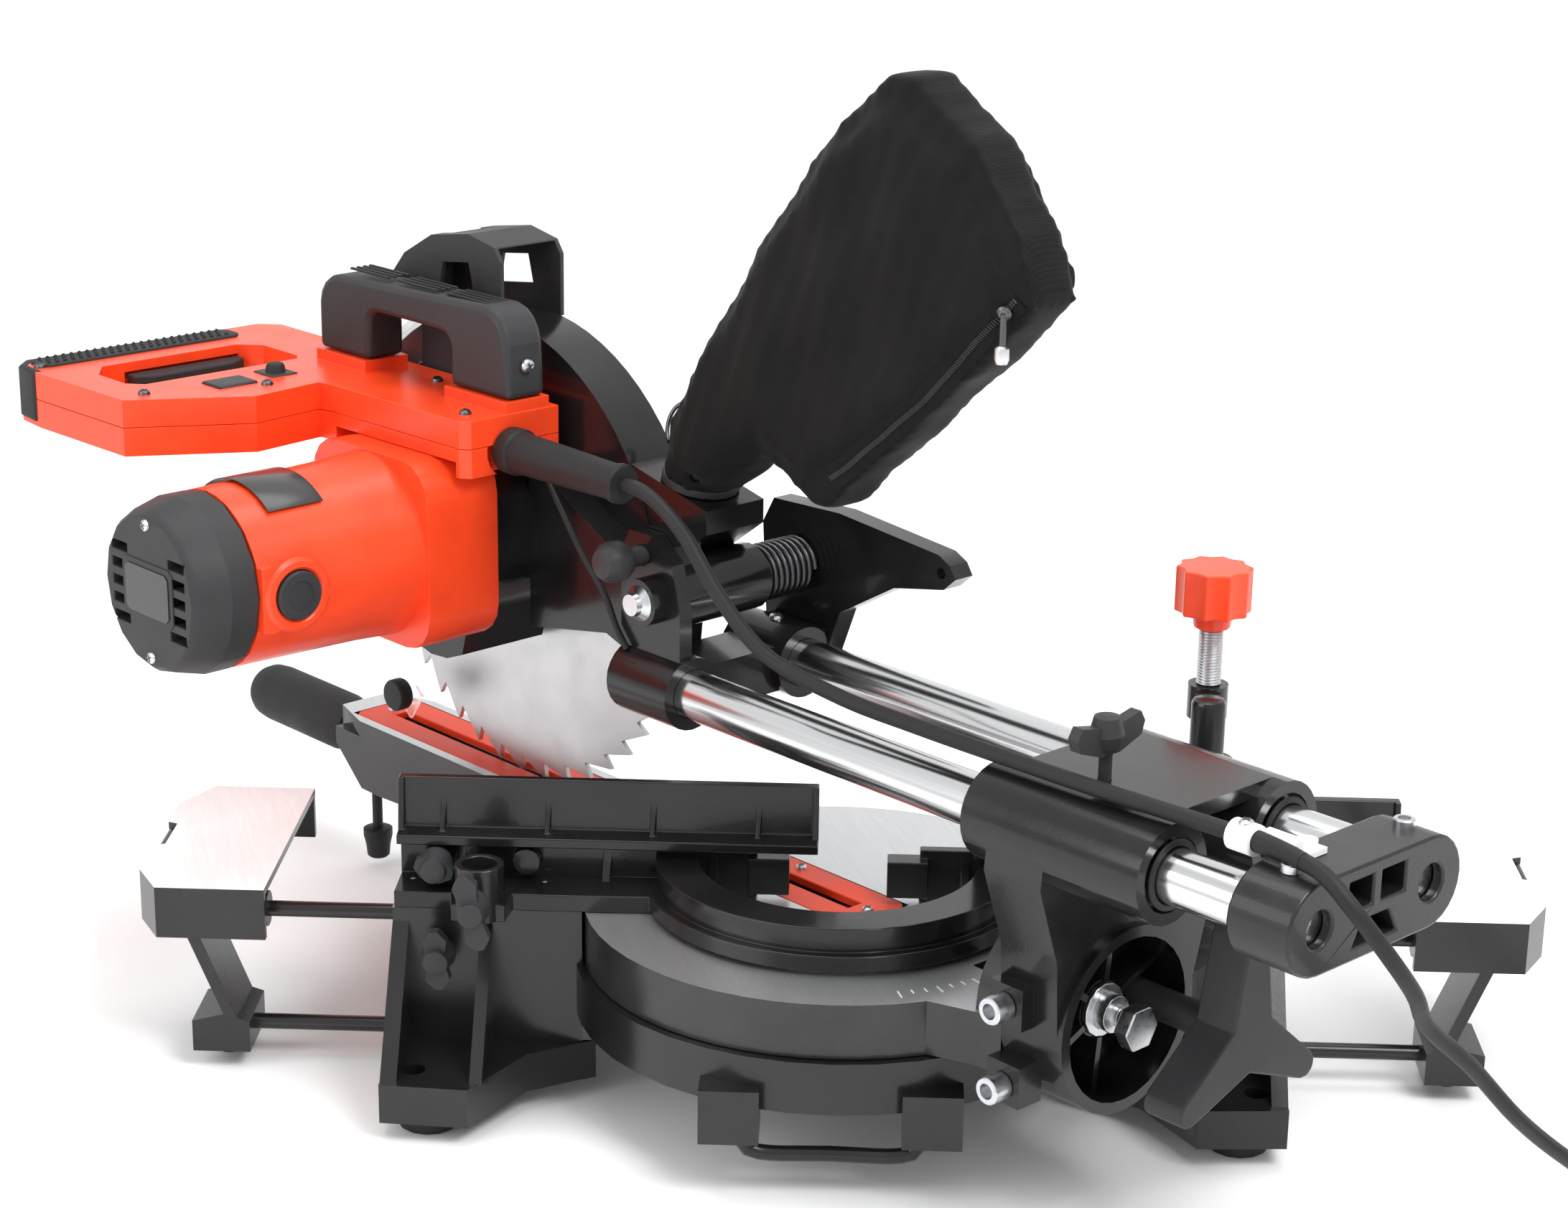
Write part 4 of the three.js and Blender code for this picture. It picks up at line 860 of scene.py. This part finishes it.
# ---- the handles ----
class SAW_OT_handles(bpy.types.Operator):
    """Makes the soft grip, its end cap, the rocker's frame and the dark bars on the carry handle, painted shade
    standing for its grooves
    """
    bl_idname = "saw.handles"
    bl_label = "Handles"

    def execute(self, context):
        pad = [(66, -434), (180, -434), (186, -430), (186, -420), (182, -416), (66, -416), (62, -420), (62, -430)]
        dress(prism("handle_pad", pad, tab, 318.6, 321.6, "z", 1.2, 3), "head", "soft")
        bm = bmesh.new()
        for i in range(24):
            for j in range(3):
                at = tab(70 + i * 4.8 + (2.4 if j % 2 else 0), -430 + j * 5, 321.9)
                bmesh.ops.create_icosphere(bm, subdivisions=2, radius=1.1 * MM, matrix=Matrix.Translation(at))
        dots = mesh_object("handle_dots", bm)
        smooth(dots, 60)
        dress(dots, "head", "soft")
        end = [(176, -438.6), (184.2, -438.7), (193.2, -429.7), (195, -412), (190, -410), (189, -427), (183, -433),
               (176, -433)]
        dress(prism("handle_end", end, tab, 293, 320.6, "z", 1.6, 3), "head", "soft")
        rim = [(118, -336), (140, -336), (140, -318), (118, -318)]
        dress(prism("rocker_frame", rim, tab, 319.4, 320.8, "z", 0.6, 2), "head", "grip")
        rim = [(90, -340), (106, -340), (106, -322), (90, -322)]
        dress(prism("button_frame", rim, tab, 319.4, 320.8, "z", 0.6, 2), "head", "grip")
        # Painted shade: thin strips in the darker rubber colour lie on the carry handle where its grooves fall into
        # shadow.
        for i, x in enumerate((42, 46, 50, 54)):
            for j, (a, b) in enumerate(((-322, -288), (-280, -246), (-238, -204))):
                slot = prism(f"groove_shade_{i}_{j}", [(x - 1, a), (x + 1, a), (x + 1, b), (x - 1, b)], tab,
                             371.2, 372.35, "z", 0.4, 2)
                dress(slot, "head", "rubber")
        return {"FINISHED"}


# ---- fasteners and springs ----
class SAW_OT_fasteners(bpy.types.Operator):
    """Makes the screws, nuts and bolts"""
    bl_idname = "saw.fasteners"
    bl_label = "Fasteners"

    def execute(self, context):
        for i, z in enumerate((114, 75)):
            cap_screw(f"stop_screw_{i}", tab, (53.2, 162, z), (1, 0, 0), 6.5, "bevel")
            hex_nut(f"stop_nut_{i}", tab, (38 - 0.2, 162, z), (-1, 0, 0), 13, 6, "bevel")
        for i, x in enumerate((-38, 38)):
            cap_screw(f"rear_bracket_screw_{i}", tab, (x, 302, 217.6), (0, 0, 1), 4.8, "carriage", 4)
        for i, x in enumerate((-38, 38)):
            pan_screw(f"front_bracket_screw_{i}", tab, (x, -88, 215.2), (0, 0, 1), 3.6, "carriage")
        pan_screw("clip_screw", tab, (CLIP[0], 276, 229.6), (0, 0, 1), 3.6, "carriage")
        pan_screw("carry_screw", tab, (48, -181.6, 343), (0, 1, 0), 3.8, "head")
        for i, (x, y) in enumerate(((44, -262), (76, -196), (40, -200), (116, -312), (186, -420), (176, -334))):
            pan_screw(f"housing_screw_{i}", tab, (x, y, 319.6), (0, 0, 1), 3.2, "head", "dark_steel_and_slot_shade")
        for i, (x, y) in enumerate(((0, -370), (0, 21), (-13, -200), (13, -200), (-13, -40), (13, -40))):
            pan_screw(f"insert_screw_{i}", tab, (x, y, 98.7), (0, 0, 1), 3.0, "table")
        for i, (x, side) in enumerate(((209, "right"), (144, "right"), (-209, "left"), (-144, "left"))):
            cap_screw(f"fence_screw_{side}_{i}", saw, (x, 8, 104), (0, 1, 0), 4.2, "base", 3)
        hex_nut("bevel_nut", tab, (0, 189.5, 98), (0, 1, 0), 19, 8, "star_handle")
        return {"FINISHED"}


class SAW_OT_springs(bpy.types.Operator):
    """Makes the return spring of the head"""
    bl_idname = "saw.springs"
    bl_label = "Springs"

    def execute(self, context):
        spring = helix("head_spring", tab(-52, -88, 242), way(tab, 1, 0, 0), 13.5 * MM, 1.5 * MM, 8, 31 * MM)
        dress(spring, "carriage", "dark_steel_and_slot_shade")
        return {"FINISHED"}


# ---- the clamp's thread ----
class SAW_OT_clamp(bpy.types.Operator):
    """Makes the hold-down screw with its knob, thread and pad"""
    bl_idname = "saw.clamp"
    bl_label = "Clamp"

    def execute(self, context):
        refined("clamp_screw", "orange", 1.0)
        x, y = CLAMP
        threaded("clamp_thread", saw, (x, y, 158), (0, 0, 1), 6.2, 82, "clamp_screw")
        pad = turned("clamp_pad", [(0, 0), (12, 0), (13.4, 1), (13.4, 5), (11, 7), (7, 9), (0, 9.5)],
                     saw(x, y, 150), way(saw, 0, 0, 1), 40)
        dress(pad, "clamp_screw", "rubber")
        return {"FINISHED"}


CLAMP = (-179.5, -30)


# ---- the scale ----
class SAW_OT_scale(bpy.types.Operator):
    """Prints the plain angle marks on the turntable"""
    bl_idname = "saw.scale"
    bl_label = "Scale marks"

    def execute(self, context):
        bm = bmesh.new()
        for i in range(-9, 10):
            long = 7 if i % 3 == 0 else 4
            angle = math.radians(90 + i * 3.3)
            c, s = math.cos(angle), math.sin(angle)
            for r0, r1, half in ((112, 112 + long, 0.35),):
                corners = [(r0, -half), (r1, -half), (r1, half), (r0, half)]
                low = [bm.verts.new(tab(c * r - s * h, s * r + c * h, 99.22)) for r, h in corners]
                high = [bm.verts.new(tab(c * r - s * h, s * r + c * h, 99.34)) for r, h in corners]
                bm.faces.new(low)
                bm.faces.new(high)
                for k in range(4):
                    bm.faces.new((low[k], low[(k + 1) % 4], high[(k + 1) % 4], high[k]))
        bmesh.ops.recalc_face_normals(bm, faces=bm.faces)
        dress(mesh_object("angle_marks", bm), "table", "white")
        return {"FINISHED"}


# ---- the dust bag ----
class SAW_OT_dust_bag(bpy.types.Operator):
    """Makes the woven dust bag and its zip"""
    bl_idname = "saw.dust_bag"
    bl_label = "Dust bag"

    def execute(self, context):
        source = bpy.data.objects["dust_bag"]
        bm = bmesh.new()
        bm.from_mesh(source.data)
        bmesh.ops.remove_doubles(bm, verts=bm.verts, dist=0.00002)
        bag = mesh_object("dust_bag_cloth", bm)
        mesher = bag.modifiers.new("mesher", "REMESH")
        mesher.mode = "VOXEL"
        mesher.voxel_size = BAG_VOXEL * MM
        applied(bag)
        for _ in range(2):
            relax(bag)
        start = [v.co.copy() for v in bag.data.vertices]
        simulate(bag, start)
        crease(bag)
        mod = bag.modifiers.new("smooth", "SUBSURF")
        mod.levels = mod.render_levels = 1
        applied(bag)
        bag.data.shade_smooth()
        dress(bag, "head", "cloth")
        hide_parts("dust_bag")
        zip_strip(bag)
        return {"FINISHED"}


def applied(obj):
    """Turns obj's modifiers into its mesh."""
    graph = bpy.context.evaluated_depsgraph_get()
    mesh = bpy.data.meshes.new_from_object(obj.evaluated_get(graph))
    obj.modifiers.clear()
    obj.data = mesh


def relax(obj):
    bm = bmesh.new()
    bm.from_mesh(obj.data)
    bmesh.ops.smooth_vert(bm, verts=bm.verts, factor=0.5, use_axis_x=True, use_axis_y=True, use_axis_z=True)
    bm.to_mesh(obj.data)
    bm.free()


def simulate(bag, start):
    """Runs the bag as cloth, with no point moving more than BAG_CAP.

    Nothing is pinned and gravity is on, so the whole bag falls and every point ends at the cap, straight down.
    """
    mod = bag.modifiers.new("air", "CLOTH")
    cloth_settings = mod.settings
    cloth_settings.use_pressure = True
    cloth_settings.uniform_pressure_force = sizes().puff
    cloth_settings.quality = 4
    cloth_settings.effector_weights.gravity = BAG_GRAVITY
    scene = bpy.context.scene
    for step in range(1, BAG_FRAMES + 1):
        scene.frame_set(step)
    graph = bpy.context.evaluated_depsgraph_get()
    moved = [v.co.copy() for v in bag.evaluated_get(graph).data.vertices]
    bag.modifiers.clear()
    scene.frame_set(1)
    for v, home, there in zip(bag.data.vertices, start, moved):
        step = there - home
        if step.length > BAG_CAP * MM:
            step.length = BAG_CAP * MM
        v.co = home + step


def crease(bag):
    """Long folds running up from the neck, and small ones across them, inside the bag's own room."""
    low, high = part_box("dust_bag")
    back = TO_TABLE.inverted()
    for v in bag.data.vertices:
        q = back @ v.co / MM
        up = 0.61 * (q.y + 93) + 0.79 * (q.z - 300)
        across = 0.79 * (q.y + 93) - 0.61 * (q.z - 300)
        near = 1 / (1 + max(up, 0) / 90)
        fold = math.sin(across * 0.1 + 1.3 * math.sin(up * 0.022)) * (0.7 + 1.6 * near)
        fold += 0.9 * math.sin(up * 0.085 + across * 0.06 + 1.1 * math.sin(across * 0.05))
        fold += 0.35 * math.sin(across * 0.42 + up * 0.13)
        v.co += Vector(v.normal) * (fold - 0.4) * MM
        for k in range(3):
            v.co[k] = min(max(v.co[k], low[k] + 0.0005), high[k] - 0.0005)


def zip_strip(bag):
    """The zip on its tape along the lower edge, with its slider, and the wire loop at the neck."""
    tree = BVHTree.FromObject(bag, bpy.context.evaluated_depsgraph_get())
    inward = way(tab, -1, 0, 0)
    line = []
    for i in range(61):
        t = i / 60
        y, z = 8 + 112 * t, 319 + 103 * t - 5 * math.sin(math.pi * t)
        hit, normal, _, _ = tree.ray_cast(tab(80, y, z), inward)
        if hit is not None:
            line.append((hit, normal))
    if len(line) < 30:
        raise RuntimeError("the zip found no cloth to lie on")
    bm = bmesh.new()
    rows = []
    for i, (p, n) in enumerate(line):
        along = (line[min(i + 1, len(line) - 1)][0] - line[max(i - 1, 0)][0]).normalized()
        side = along.cross(n).normalized()
        rows.append([bm.verts.new(p + n * h * MM + side * w * MM)
                     for w, h in ((-6, 0.2), (-6, 0.7), (6, 0.7), (6, 0.2))])
    for a, b in zip(rows, rows[1:]):
        for k in range(4):
            bm.faces.new((a[k], a[(k + 1) % 4], b[(k + 1) % 4], b[k]))
    bm.faces.new(rows[0])
    bm.faces.new(rows[-1])
    bmesh.ops.recalc_face_normals(bm, faces=bm.faces)
    tape = mesh_object("zip_tape", bm)
    smooth(tape)
    dress(tape, "head", "cloth")
    bm = bmesh.new()
    for a, b in zip(line, line[1:]):
        for f in (0.0, 0.5):
            p, n = a[0].lerp(b[0], f), a[1]
            along = (b[0] - a[0]).normalized()
            side = along.cross(n).normalized()
            move = Matrix((along, side, n)).transposed().to_4x4()
            size = Matrix.Diagonal((0.8 * MM, 2.6 * MM, 1.1 * MM, 1))
            bmesh.ops.create_cube(bm, size=1, matrix=Matrix.Translation(p + n * 1.1 * MM) @ move @ size)
    teeth = mesh_object("zip_teeth", bm)
    bevelled(teeth, 0.15 * MM, 1)
    dress(teeth, "head", "grip")
    end, n = line[-4]
    slider = turned("zip_slider", [(1.5, 0), (3.2, 0.3), (3.4, 1.6), (2.2, 2.6), (0, 2.8)], end + n * 1.4 * MM, n, 24)
    dress(slider, "head", "dark_steel_and_slot_shade")
    down = (Vector((0, 0, -1)) + n * 0.05).normalized()
    pull = bar_curve("zip_pull", [end + n * 3.4 * MM + down * d * MM for d in (0, 2, 6, 10, 14)], 1.5 * MM)
    dress(pull, "head", "dark_steel_and_slot_shade")
    tip = turned("zip_pull_tip", [(2.2, 0), (3.2, 1), (3.4, 6), (2.6, 8), (0, 8.4)],
                 end + n * 3.4 * MM + down * 14 * MM, down, 20)
    dress(tip, "head", "steel")
    ring = [tab(-6 + 0.6 * i, -121 - 7 * math.sin(math.pi * i / 20), 318 + 9 * math.cos(math.pi * i / 20))
            for i in range(21)]
    loop = bar_curve("neck_loop", ring, 1.1 * MM)
    dress(loop, "head", "dark_steel_and_slot_shade")


# ---- the stage ----
CAMERA = ((-14.075, 1410.918, 694.6), (-0.9992949942708398, -0.0347726008632573, 0.01415558739320723),
          (0.023925173833167244, -0.2992482977121112, 0.9538752761097523),
          (0.028932688818961487, -0.9535414634642839, -0.2998692664680675), 70.8188)


class SAW_OT_stage(bpy.types.Operator):
    """Makes the camera, the soft lights and the plain floor"""
    bl_idname = "saw.stage"
    bl_label = "Stage"

    def execute(self, context):
        scene = context.scene
        at, right, up, forward, lens = CAMERA
        data = bpy.data.cameras.new("view")
        data.lens = lens
        data.sensor_width = 36
        data.clip_end = 60
        eye = bpy.data.objects.new("view", data)
        scene.collection.objects.link(eye)
        spin = Matrix((right, up, tuple(-f for f in forward))).transposed().to_4x4()
        eye.matrix_world = Matrix.Translation(saw(*at)) @ spin
        scene.camera = eye

        bm = bmesh.new()
        profile = [(-4.0, 0)] + [(2.6 + 0.8 * math.sin(a), 0.8 - 0.8 * math.cos(a)) for a in
                                 (math.radians(9 * k) for k in range(11))] + [(3.4, 4)]
        rows = [[bm.verts.new((ORIGIN.x + side * 6, ORIGIN.y - y, z)) for side in (-1, 1)] for y, z in profile]
        for a, b in zip(rows, rows[1:]):
            bm.faces.new((a[0], a[1], b[1], b[0]))
        floor = mesh_object("floor", bm)
        smooth(floor, 60)
        mat, nodes, links, shader = blank("studio_floor")
        cloud = grain(nodes, links, 3, 3)
        links.new(blended(nodes, links, cloud.outputs["Fac"], (0.93, 0.93, 0.93), (0.95, 0.95, 0.95)),
                  shader.inputs["Base Color"])
        shader.inputs["Roughness"].default_value = 0.6
        floor.data.materials.append(mat)

        world = bpy.data.worlds.new("studio")
        world.use_nodes = True
        world.node_tree.nodes["Background"].inputs["Color"].default_value = (1, 1, 1, 1)
        world.node_tree.nodes["Background"].inputs["Strength"].default_value = 0.95
        scene.world = world
        scene.view_settings.view_transform = "Standard"
        aim = saw(0, -60, 160)
        for name, place, size, power in (
                ("key", (-900, 900, 1700), 1.0, 26), ("fill", (1500, 900, 900), 1.2, 10),
                ("top", (100, -300, 1900), 1.4, 14)):
            lamp = bpy.data.lights.new(name, "AREA")
            lamp.shape = "RECTANGLE"
            lamp.size, lamp.size_y = size, size * 0.7
            lamp.energy = power
            obj = bpy.data.objects.new(name, lamp)
            scene.collection.objects.link(obj)
            obj.matrix_world = aimed(saw(*place), saw(*place) - aim)
        return {"FINISHED"}


class SAW_PT_panel(bpy.types.Panel):
    """Sizes and colours of the saw, and a button for each group of its pieces"""
    bl_idname = "SAW_PT_panel"
    bl_label = "Mitre saw"
    bl_space_type = "VIEW_3D"
    bl_region_type = "UI"
    bl_category = "Saw"

    def draw(self, context):
        for group in (context.scene.saw_sizes, context.scene.saw_finish):
            for name in group.__annotations__:
                self.layout.prop(group, name)
        for step in STEPS:
            self.layout.operator(step.bl_idname)


STEPS = (SAW_OT_stage, SAW_OT_mains_lead, SAW_OT_held_lead, SAW_OT_castings, SAW_OT_turned_parts, SAW_OT_blade,
         SAW_OT_motor, SAW_OT_handles, SAW_OT_fasteners, SAW_OT_springs, SAW_OT_clamp, SAW_OT_scale, SAW_OT_dust_bag)
CLASSES = (SawFinish, SawSizes, *STEPS, SAW_PT_panel)


def register():
    for cls in CLASSES:
        bpy.utils.register_class(cls)
    bpy.types.Scene.saw_finish = PointerProperty(type=SawFinish)
    bpy.types.Scene.saw_sizes = PointerProperty(type=SawSizes)


def unregister():
    del bpy.types.Scene.saw_sizes
    del bpy.types.Scene.saw_finish
    for cls in reversed(CLASSES):
        bpy.utils.unregister_class(cls)


def main():
    register()
    for step in STEPS:
        getattr(bpy.ops.saw, step.bl_idname.split(".")[1])()


if __name__ == "__main__":
    main()
